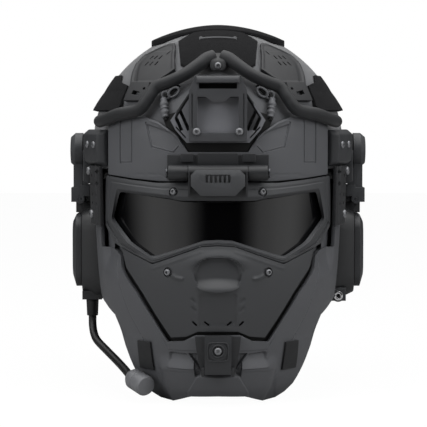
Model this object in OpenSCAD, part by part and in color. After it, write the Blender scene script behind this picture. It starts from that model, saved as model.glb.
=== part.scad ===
// Full face helmet: a bump shell with side rails and an accessory shroud, a flip-up
// visor and face plate hinged at the brow, a jaw guard, and two ear cups on rail arms.
// The face looks along -Y and +X is the wearer's left. The origin is where the crown
// pad rests on the head, so the helmet hangs below it as it does when worn.

/* [Shell] */
// Width of the shell at its widest
shell_w = 216; // [208:1:224]
// Reach of the shell in front of the widest point
shell_front = 124; // [119:1:129]
// Reach of the shell behind the widest point
shell_back = 131; // [126:1:136]
// Rise of the crown over the widest line
crown_rise = 97; // [93:1:101]
// Wall of the moulded shell
shell_t = 4; // [3:0.5:4.5]
// Foam between the crown and the head
crown_pad_t = 17; // [14:1:19]
// Foam thickness of the other pads
pad_t = 11; // [8:1:13]
// Thickness of the hook-and-loop patches
loop_t = 1.8; // [1.2:0.2:2.4]

/* [Brow] */
// Wall of the brow plate
brow_t = 4; // [3:0.5:4.5]
// Thickness of the vented panels
vent_panel_t = 2.6; // [2:0.2:3.2]
// Width of a vent slot
vent_slot = 1.6; // [1.2:0.2:2]
// Radius of the bumper that arches over the shroud
bumper_r = 5.2; // [4.6:0.1:5.6]

/* [Shroud] */
// Distance that the shroud stands off the shell
shroud_stand = 4.5; // [4:0.5:6]
// Width of the shroud plate
shroud_plate_w = 46.8; // [44:0.2:49]
// Height of the shroud plate
shroud_plate_h = 53; // [51:0.5:54]
// Thickness of the shroud plate
shroud_plate_t = 5; // [4.5:0.5:6]
// Width of the window that a mount drops into
window_w = 33.6; // [31:0.2:35]
// Height of that window
window_h = 29; // [27:0.5:30]

/* [Hinge] */
// Radius of the hinge barrels
barrel_r = 6.2; // [5.6:0.1:6.6]
// Radius of the hinge pin
pin_r = 2; // [1.5:0.1:2.5]
// Half of the visor's middle barrel
knuckle_half = 23.8; // [22:0.2:25]
// Half of the whole hinge
hinge_half = 40; // [37:0.5:43]
// Travel of the release button
button_travel = 2; // [1.5:0.1:2.2]

/* [Face] */
// Wall of the visor frame
visor_t = 5; // [4:0.5:5.5]
// Thickness of the lens
lens_t = 2.2; // [1.6:0.2:2.6]
// Thickness of the lens gasket
gasket_t = 4; // [3:0.5:5]
// Wall of the face plate
plate_t = 3.5; // [3:0.5:4.5]
// Wall of the jaw guard
jaw_t = 3.5; // [3:0.25:4]
// Height of the nose cover over the face plate
nose_rise = 3; // [2:0.5:4]
// Width of the chin latch
latch_w = 21.4; // [19:0.2:23]

/* [Rails and ear cups] */
// Height of a side rail
rail_h = 30; // [28:1:32]
// Depth of a rail off the shell
rail_d = 9.4; // [8.6:0.2:10]
// Height of an ear cup
cup_h = 82; // [78:1:84]
// Depth of an ear cup, front to back
cup_w = 70; // [64:1:74]
// Thickness of the ear cushion
cushion_t = 15; // [12:1:17]
// Thickness of the cup body
cup_t = 24; // [21:1:26]
// Thickness of the outer cover
cover_t = 8; // [6:0.5:9]
// Radius of the audio socket's bore
jack_r = 1.8; // [1.6:0.05:2]
// Radius of the microphone boom
boom_r = 3.4; // [2.8:0.1:3.8]
// Radius of the microphone capsule
mic_r = 8.6; // [7.6:0.2:9]

/* [Hidden] */
$fn = 40;
gap = 0.3;
run = 0.05;
plan_n = 2.1;
face_n = 2.25;
dome_m = 1.88;
crown_angle = 5;

half_w = shell_w / 2;
// Shapes are drawn on a shell of this half width. Inside still_x they stay as drawn, beyond
// side_x they move out with the shell, and what lies between stretches.
function drawn_half() = 108;
// The top is drawn on a shell of these reaches, and follows the real ones
function drawn_reach(y) = y < 0 ? 124 : 131;
still_x = 42;
side_x = 84;
top_z = crown_pad_t + gap + shell_t;
eq = top_z - crown_rise;

// Drops below the widest line of the shell, as [angle or drop, value] tables.
rim_drop = [[0, 24], [62, 24], [75, 36], [110, 38], [140, 50], [180, 58]];
face_dw = [[20, -1], [50, -2], [80, -3], [105, -4.5], [130, -7], [155, -13], [180, -21], [200, -30],
    [215, -42]];
face_df = [[20, 12], [50, 20], [80, 26], [105, 29], [130, 27], [155, 23], [180, 17], [200, 8],
    [215, -4]];

// Shared places
hinge_drop = 25.3;
hinge_z = eq - hinge_drop;
hinge_y = -(shell_front + brow_t + barrel_r + 6.8);
latch_axis_drop = 184.5;
latch_axis_z = eq - latch_axis_drop;
chin_front = shell_front + 25;
latch_y = -(chin_front + 2.9);
pivot_y = 12;
pivot_drop = 10;
swing_drop = 52.5;
rail_out = gap + rail_d;
cup_in = half_w - 13.8;
swing_x = half_w + 12.5;
// The cup hangs this far below its pivot
cup_hang = 5;
cup_mid_drop = swing_drop + cup_hang + cup_h / 2;
shroud_y = -(shell_front + shroud_stand);
jack_x = cup_in + 9.8;
jack_drop = cup_mid_drop + cup_h / 2 - 4.1;
jack_y = pivot_y - cup_w / 2 + 11;

// Maths shared by the curved pieces
function spow(v, p) = sign(v) * pow(abs(v), p);
function mix(a, b, t) = a + (b - a) * t;
function clamp01(t) = min(1, max(0, t));
function unit(v) = v / norm(v);
function steps(a, b, n) = [for (i = [0:n]) mix(a, b, i / n)];
function flip_x(p) = [-p[0], p[1], p[2]];

// The place across the real shell of a drawn one
function wide(x) =
    sign(x) * (abs(x) + (half_w - drawn_half()) * clamp01((abs(x) - still_x) / (side_x - still_x)));

// The place along the real shell of a drawn one
function deep(y) = y * (y < 0 ? shell_front : shell_back) / drawn_reach(y);

// A point on an oval at height z. Angle 0 is the front and 90 the wearer's left.
function oval(w, f, b, n, th, z) =
    [wide(w * spow(sin(th), 2 / n)), (cos(th) >= 0 ? -f : b) * pow(abs(cos(th)), 2 / n), z];

function rim_at(th) = lookup(abs(th) > 180 ? 360 - abs(th) : abs(th), rim_drop);

// The shell: v from 0 to 1 runs from the crown to the widest line, and on to 2 at the rim.
function dome(th, v, off) =
    let(
        phi = v < 1 ? mix(crown_angle, 90, v) : 90,
        k = pow(sin(phi), 2 / dome_m),
        z = v < 1 ? eq + (crown_rise + off) * pow(cos(phi), 2 / dome_m) : eq - (v - 1) * rim_at(th)
    )
    oval((drawn_half() + off) * k, (shell_front + off) * k, (shell_back + off) * k, plan_n, th, z);

// The front of the shell over a given x, at a drop below the widest line.
function on_dome(x, drop, off) =
    let(
        rise = max(0, -drop) / (crown_rise + off),
        k = pow(1 - pow(min(rise, 0.99), dome_m), 1 / dome_m),
        r = min(abs(x) / ((drawn_half() + off) * k), 0.999)
    )
    [wide(x), -(shell_front + off) * k * pow(1 - pow(r, plan_n), 1 / plan_n), eq - drop];

// The top of the shell over a given x and y.
function on_crown(x, y, off) =
    let(
        b = drawn_reach(y) + off,
        r = pow(pow(abs(x) / (drawn_half() + off), plan_n) + pow(abs(y) / b, plan_n), 1 / plan_n)
    )
    [wide(x), deep(y), eq + (crown_rise + off) * pow(1 - pow(min(r, 0.99), dome_m), 1 / dome_m)];

// The face surface, by angle and by x.
function face_w(drop) = drawn_half() + lookup(drop, face_dw);
function face_f(drop) = shell_front + lookup(drop, face_df);
function face(th, drop, off) =
    oval(face_w(drop) + off, face_f(drop) + off, shell_back, face_n, th, eq - drop);
function on_face(x, drop, off) =
    let(r = min(abs(x) / (face_w(drop) + off), 0.999))
    [wide(x), -(face_f(drop) + off) * pow(1 - pow(r, face_n), 1 / face_n), eq - drop];

// A closed wall between two grids of points. Rows run down and columns towards +X.
module sheet(outer, inner, wrap = false, cap = false) {
    rows = len(outer);
    cols = len(outer[0]);
    count = rows * cols;
    last = wrap ? cols - 1 : cols - 2;
    function o(i, j) = i * cols + j % cols;
    function n(i, j) = count + o(i, j);
    skin = [for (i = [0:rows - 2], j = [0:last]) each [
        [o(i, j), o(i, j + 1), o(i + 1, j + 1)], [o(i, j), o(i + 1, j + 1), o(i + 1, j)],
        [n(i, j), n(i + 1, j + 1), n(i, j + 1)], [n(i, j), n(i + 1, j), n(i + 1, j + 1)]]];
    top_edge = cap
        ? [[for (j = [0:cols - 1]) o(0, cols - 1 - j)], [for (j = [0:cols - 1]) n(0, j)]]
        : [for (j = [0:last]) each [
            [o(0, j), n(0, j + 1), o(0, j + 1)], [o(0, j), n(0, j), n(0, j + 1)]]];
    low_edge = [for (j = [0:last]) each [
        [o(rows - 1, j), o(rows - 1, j + 1), n(rows - 1, j + 1)],
        [o(rows - 1, j), n(rows - 1, j + 1), n(rows - 1, j)]]];
    side_edges = wrap ? [] : [for (i = [0:rows - 2]) each [
        [o(i, 0), o(i + 1, 0), n(i + 1, 0)], [o(i, 0), n(i + 1, 0), n(i, 0)],
        [o(i, cols - 1), n(i + 1, cols - 1), o(i + 1, cols - 1)],
        [o(i, cols - 1), n(i, cols - 1), n(i + 1, cols - 1)]]];
    polyhedron(
        concat([for (r = outer) each r], [for (r = inner) each r]),
        concat(skin, top_edge, low_edge, side_edges), convexity = 8);
}

// A closed solid through a row of equal loops of points. closed joins the last to the first.
module loft(loops, closed = false) {
    rows = len(loops);
    cols = len(loops[0]);
    last = closed ? rows - 1 : rows - 2;
    function o(i, j) = (i % rows) * cols + j % cols;
    skin = [for (i = [0:last], j = [0:cols - 1]) each [
        [o(i, j), o(i, j + 1), o(i + 1, j + 1)], [o(i, j), o(i + 1, j + 1), o(i + 1, j)]]];
    ends = closed ? [] : [
        [for (j = [0:cols - 1]) o(0, cols - 1 - j)], [for (j = [0:cols - 1]) o(rows - 1, j)]];
    polyhedron([for (r = loops) each r], concat(skin, ends), convexity = 8);
}

// A round tube along a path of points, ref being any direction that the path never takes.
function tube_loops(path, r, sides, ref = [0, 0, 1]) = [
    for (i = [0:len(path) - 1])
        let(
            t = unit(path[min(i + 1, len(path) - 1)] - path[max(i - 1, 0)]),
            n = unit(cross(t, ref)),
            b = cross(n, t)
        )
        [for (k = [0:sides - 1]) path[i] + r * (n * cos(360 * k / sides) + b * sin(360 * k / sides))]];
module tube(path, r, sides, ref = [0, 0, 1]) {
    loft(tube_loops(path, r, sides, ref));
}

// A smooth curve through chosen points.
function spline_at(p0, p1, p2, p3, t) =
    0.5 * ((2 * p1) + (p2 - p0) * t + (2 * p0 - 5 * p1 + 4 * p2 - p3) * t * t
    + (3 * p1 - p0 - 3 * p2 + p3) * t * t * t);
function spline(pts, n) = concat(
    [for (i = [0:len(pts) - 2], k = [0:n - 1])
        spline_at(pts[max(i - 1, 0)], pts[i], pts[i + 1], pts[min(i + 2, len(pts) - 1)], k / n)],
    [pts[len(pts) - 1]]);

// Outlines drawn as one half, from the top middle round the left side to the bottom middle,
// turned into a whole loop and then divided into equal steps.
function whole_loop(half) = concat(
    [for (p = half) [-p[0], p[1]]], [for (i = [len(half) - 2:-1:1]) half[i]]);
function refine(loop, n) = [
    for (i = [0:len(loop) - 1], k = [0:n - 1]) mix(loop[i], loop[(i + 1) % len(loop)], k / n)];
module both_sides() {
    children();
    mirror([1, 0, 0]) children();
}
// Angles on both sides of the front, from a list that starts at 0
function both_ways(list) = concat([for (i = [len(list) - 1:-1:1]) -list[i]], list);

// Shell and what is fixed on it
shell_rows = concat(steps(0, 1, 10), [1.35, 1.7, 2]);
shell_cols = [for (i = [0:43]) -180 + 360 * i / 44];

module helmet_shell() {
    color("#2b2c2e") sheet(
        [for (v = shell_rows) [for (th = shell_cols) dome(th, v, 0)]],
        [for (v = shell_rows) [for (th = shell_cols) dome(th, v, -shell_t)]],
        wrap = true, cap = true);
}

module edge_trim() {
    trim_r = 1.7;
    path = [for (th = shell_cols) dome(th, 2, -shell_t / 2) - [0, 0, trim_r + gap]];
    function ring(i) =
        let(
            t = unit(path[(i + 1) % 44] - path[(i + 43) % 44]),
            n = unit(cross(t, [0, 0, 1])),
            b = cross(n, t)
        )
        [for (k = [0:5]) path[i] + trim_r * (n * 1.25 * cos(60 * k) + b * sin(60 * k))];
    color("#161616") loft([for (i = [0:43]) ring(i)], closed = true);
}

module crown_loop_panel() {
    half = 58;
    front = -36;
    back = 74;
    rows = steps(back, front, 8);
    function width(y) = half * pow(1 - pow(abs((y - 19) / 62), 4), 0.25);
    function lift(u) = gap + loop_t + 2.6 * u * u;
    function row(y) = [for (u = steps(-1, 1, 10)) on_crown(u * width(y), y, lift(u))];
    function low_row(y) = [for (u = steps(-1, 1, 10)) on_crown(u * width(y), y, 1.5 * gap)];
    color("#1d1e20") sheet([for (y = rows) row(y)], [for (y = rows) low_row(y)]);
}

module front_loop_panel() {
    rows = [-39, -50, -60, -70, -79, -87, -93];
    widths = [[-93, 25], [-87, 31], [-52, 33.5], [-39, 21]];
    function row(y, off) = [for (u = steps(-1, 1, 6)) on_crown(u * lookup(y, widths), y, off)];
    strip = [-57, -60.5];
    function bar(y, off) = [for (u = steps(-1, 1, 4)) on_crown(u * 14.5, y, off)];
    color("#1d1e20") {
        sheet([for (y = rows) row(y, gap + loop_t)], [for (y = rows) row(y, gap)]);
        sheet(
            [for (y = strip) bar(y, gap + loop_t + 1)],
            [for (y = strip) bar(y, gap + loop_t - 0.2)]);
    }
}

module side_loop_panels() {
    rows = steps(0.59, 0.82, 5);
    cols = [66, 72, 80, 88, 96, 104, 112, 118];
    function lift(v) = 3 * clamp01((v - 0.7) / 0.12);
    color("#1b1c1d") both_sides() sheet(
        [for (v = rows) [for (th = cols) dome(th, v, gap + loop_t + lift(v))]],
        [for (v = rows) [for (th = cols) dome(th, v, gap)]]);
}

module rear_loop_panel() {
    rows = steps(0.62, 0.98, 5);
    cols = steps(154, 206, 8);
    color("#1d1e20") sheet(
        [for (v = rows) [for (th = cols) dome(th, v, gap + loop_t)]],
        [for (v = rows) [for (th = cols) dome(th, v, gap)]]);
}

// Raised panel with rows of vent slots
module left_vent_panel() {
    rows = [0.345, 0.4, 0.447, 0.509, 0.56, 0.61, 0.655];
    inner_th = [[0.345, 36], [0.4, 31], [0.447, 28.4], [0.509, 25.2], [0.56, 23.2], [0.61, 28],
        [0.655, 33.4]];
    outer_th = [[0.345, 41], [0.4, 50.5], [0.447, 57], [0.509, 57.6], [0.56, 54.7], [0.61, 51.7],
        [0.655, 49]];
    function row(v, off) = [for (u = steps(0, 1, 6))
        dome(mix(lookup(v, inner_th), lookup(v, outer_th), u), v, off)];
    catch_v = [0.648, 0.7, 0.76];
    catch_th = steps(34.5, 47.5, 4);
    color("#303133") difference() {
        union() {
            sheet([for (v = rows) row(v, gap + vent_panel_t)], [for (v = rows) row(v, gap)]);
            sheet(
                [for (v = catch_v) [for (th = catch_th) dome(th, v, gap + vent_panel_t + 1.6)]],
                [for (v = catch_v) [for (th = catch_th) dome(th, v, gap)]]);
        }
        for (th = [38, 42, 46], v = [0.468, 0.515]) slot_cut(th, v, 4.6, vent_slot, 14);
        slot_cut(34, 0.43, 6, vent_slot, 12);
        slot_cut(41, 0.715, 3.6, 9, 12);
    }
}
// A slot through the shell's panels, its long side running up the crown
module slot_cut(th, v, long, wide, tilt) {
    p = dome(th, v, 0);
    n = unit(dome(th, v, 1) - p);
    translate(p) rotate([0, acos(n[2]), atan2(n[1], n[0])]) rotate([0, 0, tilt])
        cube([long, wide, 16], center = true);
}
module right_vent_panel() {
    mirror([1, 0, 0]) left_vent_panel();
}

// The brow plate is cut back round the shroud
brow_top = [[0, 9], [24.5, 9], [32.4, -4], [48.8, -15.5], [60, -19.5], [78, -19], [91, -16]];
brow_low = [[0, 32.8], [48, 32.8], [70, 31], [92, 28.4]];
brow_x = both_ways([0, 8, 16, 24.5, 28.5, 32.4, 40, 48.8, 54, 60, 66, 72, 78, 83, 87.5, 91.5]);
// Corners of the sunk panel beside the shroud, from its upper outer corner
brow_sunk = [[56.5, -12], [34, 0.5], [37.5, 8.6], [53.5, 3.6]];
module brow_plate() {
    rows = steps(0, 1, 6);
    function at(x, t, off) =
        on_dome(x, mix(lookup(abs(x), brow_top), lookup(abs(x), brow_low), t), off);
    function sunk(u, w, off) =
        let(p = mix(mix(brow_sunk[1], brow_sunk[0], u), mix(brow_sunk[2], brow_sunk[3], u), w))
        on_dome(p[0], p[1], off);
    grid = steps(0, 1, 3);
    groove = [71.5, 75.5, 79.5];
    deep = gap + brow_t - 1;
    color("#37383a") difference() {
        sheet(
            [for (t = rows) [for (x = brow_x) at(x, t, gap + brow_t)]],
            [for (t = rows) [for (x = brow_x) at(x, t, gap)]]);
        both_sides() sheet(
            [for (w = grid) [for (u = grid) sunk(u, w, deep + 4)]],
            [for (w = grid) [for (u = grid) sunk(u, w, deep)]]);
        both_sides() sheet(
            [for (d = [-30, -6, 18]) [for (x = groove) on_dome(x, d, deep + 4)]],
            [for (d = [-30, -6, 18]) [for (x = groove) on_dome(x, d, deep)]]);
    }
}

// Padded arms that run from the boss over the shroud and down to the rails, as [x, drop, lift]
bumper_half = [[10, -65.8, 3.3], [17, -61, 3.3], [28, -53.6, 3.3], [40, -48, 3.3],
    [51, -43.3, 3.3], [57.5, -34, 4.2], [65, -25.2, 4.9], [81, -21.8, 4.9], [93, -17.5, 4.2], [101, -15, 2.5]];
module bumper() {
    path = [for (p = bumper_half) on_dome(p[0], p[1], p[2] + bumper_r)];
    color("#1c1d1e") both_sides() tube(spline(path, 2), bumper_r, 10, [0, -1, 0]);
}

// Boss between the arms, with its screw on the front
boss_screw_drop = -61.2;
boss_face = -(shell_front - 15.5);
module crown_boss() {
    front_y = [[-72, 16.5], [-69.5, 9.5], [-65, 2.5], [-57.6, 0]];
    widths = [[-72, 3.2], [-70, 5.6], [-66, 6.6], [-60.5, 6.6], [-57.6, 5]];
    drops = [-72, -70, -68, -66, -63, -60.5, -57.6];
    function row(d, front) = [for (u = steps(-1, 1, 4))
        let(x = u * lookup(d, widths))
        front ? [x, boss_face + lookup(d, front_y) + 2.5 * u * u, eq - d] : on_dome(x, d, gap + loop_t + gap)];
    color("#242527") difference() {
        sheet([for (d = drops) row(d, true)], [for (d = drops) row(d, false)]);
        translate([0, boss_face, eq - boss_screw_drop]) rotate([90, 0, 0])
            cylinder(h = 3, r = 3.2, center = true);
    }
}

// Accessory shroud
shroud_half = [[-49, 16], [-38, 24], [-16.7, 38.5], [-9, 34.5], [1.5, 25.4]];
plate_top_drop = -52.7;
plate_mid_z = eq - plate_top_drop - shroud_plate_h / 2;
screw_x = 17.2;
screw_up = 7.6;
module shroud_base() {
    drops = [-49, -43.5, -38, -31, -24, -16.7, -9, 1.5];
    function row(drop, flat) = [for (u = steps(-1, 1, 8))
        let(x = u * lookup(drop, shroud_half))
        flat ? [x, shroud_y, eq - drop] : on_dome(x, drop, gap)];
    color("#232426") difference() {
        sheet([for (d = drops) row(d, true)], [for (d = drops) row(d, false)]);
        both_sides() for (q = [[27, 0], [31.5, 6]])
            translate([q[0], shroud_y, eq + 16.5 - q[1] / 2]) rotate([0, 24, 0])
            cube([2.6, 14, 17 - q[1]], center = true);
    }
}

// Outline of the window: the upper edge dips in the middle
module window_shape() {
    half = window_w / 2;
    low = -shroud_plate_h / 2 + 7;
    high = low + window_h;
    polygon([[-half, low], [half, low], [half, high], [10, high], [4.5, high - 4.5], [-4.5, high - 4.5],
        [-10, high], [-half, high]]);
}
module shroud_plate() {
    slot_h = 5;
    half_w1 = shroud_plate_w / 2;
    half_h1 = shroud_plate_h / 2;
    color("#2c2d2f") translate([0, shroud_y - gap, plate_mid_z]) rotate([90, 0, 0])
        linear_extrude(shroud_plate_t) difference() {
            polygon([[-half_w1, -half_h1], [half_w1, -half_h1], [half_w1, half_h1 - 12], [18.5, half_h1],
                [-18.5, half_h1], [-half_w1, half_h1 - 12]]);
            window_shape();
            translate([0, half_h1 - 5.6 - slot_h / 2]) square([31, slot_h], center = true);
            for (s = [-1, 1]) translate([s * screw_x, eq + screw_up - plate_mid_z]) circle(r = 1.6);
        }
}

module machine_screw(head_r, head_h, shank_r, shank_l) {
    difference() {
        union() {
            cylinder(h = head_h, r1 = head_r, r2 = head_r * 0.82);
            translate([0, 0, -shank_l]) cylinder(h = shank_l + 0.01, r = shank_r);
        }
        translate([0, 0, head_h - 1.1]) cylinder(h = 2, r = head_r * 0.45, $fn = 6);
    }
}
module shroud_screws() {
    color("#8d9092") for (s = [-1, 1])
        translate([s * screw_x, shroud_y - gap - shroud_plate_t - 0.1, eq + screw_up])
        rotate([90, 0, 0]) machine_screw(3.3, 2.2, 1.5, shroud_plate_t);
    color("#8d9092") translate([0, boss_face + 1.2, eq - boss_screw_drop])
        rotate([90, 0, 0]) machine_screw(2.9, 2, 1.2, 0.2);
}

// Elastic cords beside the shroud, each through a plastic toggle
bungee_route = [[31.6, -45], [33.4, -43.2], [36, -40.8], [39.5, -38.2], [42.4, -36.2],
    [44.2, -33], [43.8, -28], [43, -22], [42.5, -16.8]];
module bungees() {
    path = [for (p = bungee_route) on_dome(p[0], p[1], 3.5)];
    color("#101010") both_sides() tube(spline(path, 2), 1.4, 8, [0, -1, 0]);
}
module bungee_toggles() {
    path = [for (p = [[44.1, -31.5], [43.8, -28], [43.3, -24.4], [42.9, -20.5]]) on_dome(p[0], p[1], 3.5)];
    long_path = concat([path[0] * 2 - path[1]], path, [path[3] * 2 - path[2]]);
    color("#343537") both_sides() difference() {
        tube(path, 3, 10, [0, -1, 0]);
        tube(long_path, 1.8, 8, [0, -1, 0]);
    }
}

// Brow hinge, with the raised blocks over it
bracket_t = 3.4;
bracket_y = -(shell_front + gap + brow_t + gap + bracket_t);
module hinge_bracket() {
    drops = [11, 20, 31];
    xs = steps(-hinge_half - 1, hinge_half + 1, 10);
    color("#2d2e30") difference() {
        union() {
            sheet(
                [for (d = drops) [for (x = xs) [x, bracket_y, eq - d]]],
                [for (d = drops) [for (x = xs) on_dome(x, d, gap + brow_t + gap)]]);
            translate([-16, bracket_y - 2.3, eq - 19.5]) cube([32, 4, 10]);
            for (s = [-1, 1]) translate([s * 25 - 5, bracket_y - 2.3, eq - 17]) cube([10, 4, 7]);
            for (s = [-1, 1]) translate([s * (knuckle_half + hinge_half + gap) / 2, 0, 0]) {
                translate([0, hinge_y, hinge_z]) rotate([0, 90, 0])
                    cylinder(h = hinge_half - knuckle_half - gap, r = barrel_r, center = true);
                translate([0, (hinge_y + bracket_y) / 2 + 0.5, hinge_z])
                    cube([hinge_half - knuckle_half - gap, bracket_y - hinge_y + 1, 7], center = true);
            }
        }
        translate([0, hinge_y, hinge_z]) rotate([0, 90, 0])
            cylinder(h = 4 * hinge_half, r = pin_r + run, center = true);
    }
}

module hinge_pin() {
    head = 1.6;
    color("#9a9c9e") translate([-hinge_half - gap - head, hinge_y, hinge_z]) rotate([0, 90, 0]) {
        cylinder(h = head, r = pin_r + 2);
        cylinder(h = 2 * (hinge_half + gap + head), r = pin_r);
        translate([0, 0, 2 * (hinge_half + gap) + head]) cylinder(h = head, r = pin_r + 2);
    }
}

// Face unit: all of it turns up on the hinge pin
foot_y = hinge_y - barrel_r - 0.8;
foot_half = 23.8;
stem_x = 12;
stem_r = 1.8;
stem_z = eq - 38;
module visor_hinge_block() {
    drops = [36, 40, 44.6];
    xs = steps(-foot_half, foot_half, 6);
    color("#2f3032") difference() {
        union() {
            translate([0, hinge_y, hinge_z]) rotate([0, 90, 0])
                cylinder(h = 2 * knuckle_half, r = barrel_r, center = true);
            translate([-foot_half, hinge_y - barrel_r + 1.5, eq - 38]) cube([2 * foot_half, 3, 12]);
            sheet(
                [for (d = drops) [for (x = xs) [x, foot_y, eq - d]]],
                [for (d = drops) [for (x = xs) on_face(x, d, 0.8 + gap)]]);
            for (s = [-1, 1]) translate([s * (foot_half - 0.75), foot_y - 1.5, eq - 33])
                cube([1.5, 3.2, 18], center = true);
        }
        translate([0, hinge_y, hinge_z]) rotate([0, 90, 0])
            cylinder(h = 4 * hinge_half, r = pin_r + run, center = true);
        for (s = [-1, 1]) translate([s * stem_x, foot_y - 1, stem_z]) rotate([-90, 0, 0])
            cylinder(h = 5, r = stem_r + 0.2);
    }
}

// Release button with its finger ribs and two guide stems
module release_button() {
    half = 21.6;
    high = eq - 22.8;
    low = eq - 43.4;
    body_t = 4;
    back_y = foot_y - gap - button_travel;
    color("#333436") difference() {
        union() {
            translate([0, back_y, 0]) rotate([90, 0, 0]) linear_extrude(body_t) polygon([
                [-half + 4, high], [half - 4, high], [half, high - 4], [half, low + 8], [half - 8, low],
                [-half + 8, low], [-half, low + 8], [-half, high - 4]]);
            for (s = [-1, 1]) translate([s * stem_x, back_y - 1, stem_z]) rotate([-90, 0, 0])
                cylinder(h = button_travel + 2.6, r = stem_r);
        }
        for (i = [-2.5:1:2.5]) translate([i * 3.6, back_y - body_t, high - 6.2])
            cube([1.9, 2.6, 6], center = true);
    }
}

// Half outlines of the lens opening and of the frame, as [x, drop] from the top middle
lens_half = [[0, 47.8], [30, 47.9], [39.5, 46.2], [60, 44.2], [81, 42.2], [86.5, 64.3], [70.6, 82.6],
    [52.8, 93.4], [11.6, 79.5], [0, 78.9]];
frame_half = [[0, 33.2], [24, 33.2], [48.5, 34], [72, 32], [93.5, 29.5], [95, 69], [85.9, 84.4],
    [53, 98.6], [13.6, 84], [0, 83.2]];
function ring_at(t, k) =
    let(a = refine(whole_loop(lens_half), k), b = refine(whole_loop(frame_half), k))
    [for (i = [0:len(a) - 1]) mix(a[i], b[i], t)];

module visor_frame() {
    steps_out = [0, 0.22, 0.8, 1];
    offs = [-2, 0.6, 0.4, -0.6];
    rings = [for (t = steps_out) ring_at(t, 3)];
    color("#343537") sheet(
        [for (i = [0:3]) [for (p = rings[i]) on_face(p[0], p[1], offs[i])]],
        [for (i = [0:3]) [for (p = rings[i]) on_face(p[0], p[1], -visor_t)]],
        wrap = true);
}

lens_top = [[0, 43.5], [30, 43.5], [40, 42.2], [81, 38.2], [87.6, 42]];
lens_low = [[0, 83], [12, 83.6], [53, 96.6], [72, 85], [87.6, 66]];
module lens() {
    rows = steps(0, 1, 4);
    xs = both_ways([0, 12, 24, 36, 47, 53, 62, 72, 80, 87.6]);
    function at(x, t, off) =
        on_face(x, mix(lookup(abs(x), lens_top), lookup(abs(x), lens_low), t), off);
    color("#0c0d0f") sheet(
        [for (t = rows) [for (x = xs) at(x, t, -visor_t - gap)]],
        [for (t = rows) [for (x = xs) at(x, t, -visor_t - gap - lens_t)]]);
}

// Foam ring behind the lens, and the strip behind the seam of the frame and the face plate
module lens_gasket() {
    rings = [for (t = [-0.04, 0.22]) ring_at(t, 2)];
    outer = -visor_t - lens_t - 2 * gap;
    function front(p) = on_face(p[0], p[1], outer);
    function back(p) = front(p) + [0, gasket_t * (1 - 0.6 * clamp01((abs(p[0]) - 55) / 25)), 0];
    seam_xs = both_ways([0, 7, 13.6, 24, 34, 44, 53, 62, 71]);
    seam_top = [[0, 83.4], [12, 84], [53, 97], [72, 85.4]];
    seam_low = [[0, 88], [13.6, 88.8], [53, 103.4], [79, 92]];
    function seam(x, t, off) =
        on_face(x, mix(lookup(abs(x), seam_top), lookup(abs(x), seam_low), t), off);
    color("#141414") {
        sheet(
            [for (r = rings) [for (p = r) front(p)]],
            [for (r = rings) [for (p = r) back(p)]],
            wrap = true);
        sheet(
            [for (t = [0, 0.5, 1]) [for (x = seam_xs) seam(x, t, -visor_t - gap)]],
            [for (t = [0, 0.5, 1]) [for (x = seam_xs) seam(x, t, -visor_t - gap - 1.5)]]);
    }
}

// Face plate: W-shaped upper edge under the frame, tapering to the chin
plate_top = [[0, 83.7], [13.6, 84.5], [53, 99.1], [79, 87.9]];
plate_low = [[0, 152.6], [16, 152.6], [25.6, 157], [38, 158.3]];
plate_side = [[0, 79], [0.22, 75], [0.5, 61], [0.76, 49.5], [1, 38]];
module face_plate() {
    rows = steps(0, 1, 10);
    us = both_ways([0, 0.09, 0.17, 0.3, 0.42, 0.55, 0.67, 0.8, 0.9, 1]);
    function at(u, t, off) =
        let(
            top = lookup(abs(u) * plate_side[0][1], plate_top),
            low = lookup(abs(u) * plate_side[4][1], plate_low)
        )
        on_face(u * lookup(t, plate_side), mix(top, low, t), off);
    color("#303133") difference() {
        sheet(
            [for (t = rows) [for (u = us) at(u, t, 0)]],
            [for (t = rows) [for (u = us) at(u, t, -plate_t)]]);
        for (s = [-1, 1], q = [[9, 146, 52], [18.7, 146, 46]])
            translate([s * q[0], -(shell_front + 22), eq - q[1]]) rotate([0, s * q[2], 0])
            cube([1.5, 30, 5], center = true);
    }
}

// Foam filter behind the breathing slots
module breath_filter() {
    xs = steps(-25, 25, 8);
    drops = [119, 130, 141, 149.5];
    color("#1b1b1b") sheet(
        [for (d = drops) [for (x = xs) on_face(x, d, -plate_t - gap)]],
        [for (d = drops) [for (x = xs) on_face(x, d, -plate_t - gap - 4)]]);
}

nose_mid = 106;
nose_half_w = 17.6;
nose_half_h = 14;
module nose_cover() {
    rows = [-0.985, -0.85, -0.6, -0.3, 0, 0.3, 0.6, 0.85, 0.985];
    us = steps(-1, 1, 8);
    function width(v) = nose_half_w * pow(1 - pow(abs(v), 2.6), 1 / 2.6);
    function rise(u, v) = nose_rise * (1 - pow(max(abs(u), abs(v)), 5) * 0.7);
    color("#1f2022") sheet(
        [for (v = rows) [for (u = us) on_face(u * width(v), nose_mid + v * nose_half_h, gap + rise(u, v))]],
        [for (v = rows) [for (u = us) on_face(u * width(v), nose_mid + v * nose_half_h, gap)]]);
}

// Button-head screws of the face unit, set square to the surface
module face_screws() {
    color("#85888a") both_sides() for (q = [[35.7, 40.9, 1], [40.3, 105.1, 0.4]]) {
        p = on_face(q[0], q[1], q[2]);
        across = on_face(q[0] + 1, q[1], 0) - on_face(q[0] - 1, q[1], 0);
        down = on_face(q[0], q[1] + 1, 0) - on_face(q[0], q[1] - 1, 0);
        n = unit(cross(down, across));
        translate(p) rotate([0, acos(n[2]), atan2(n[1], n[0])]) difference() {
            cylinder(h = 2.2, r1 = 3.6, r2 = 2.9);
            translate([0, 0, 1.2]) cylinder(h = 2, r = 1.4, $fn = 6);
        }
    }
}

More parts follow.
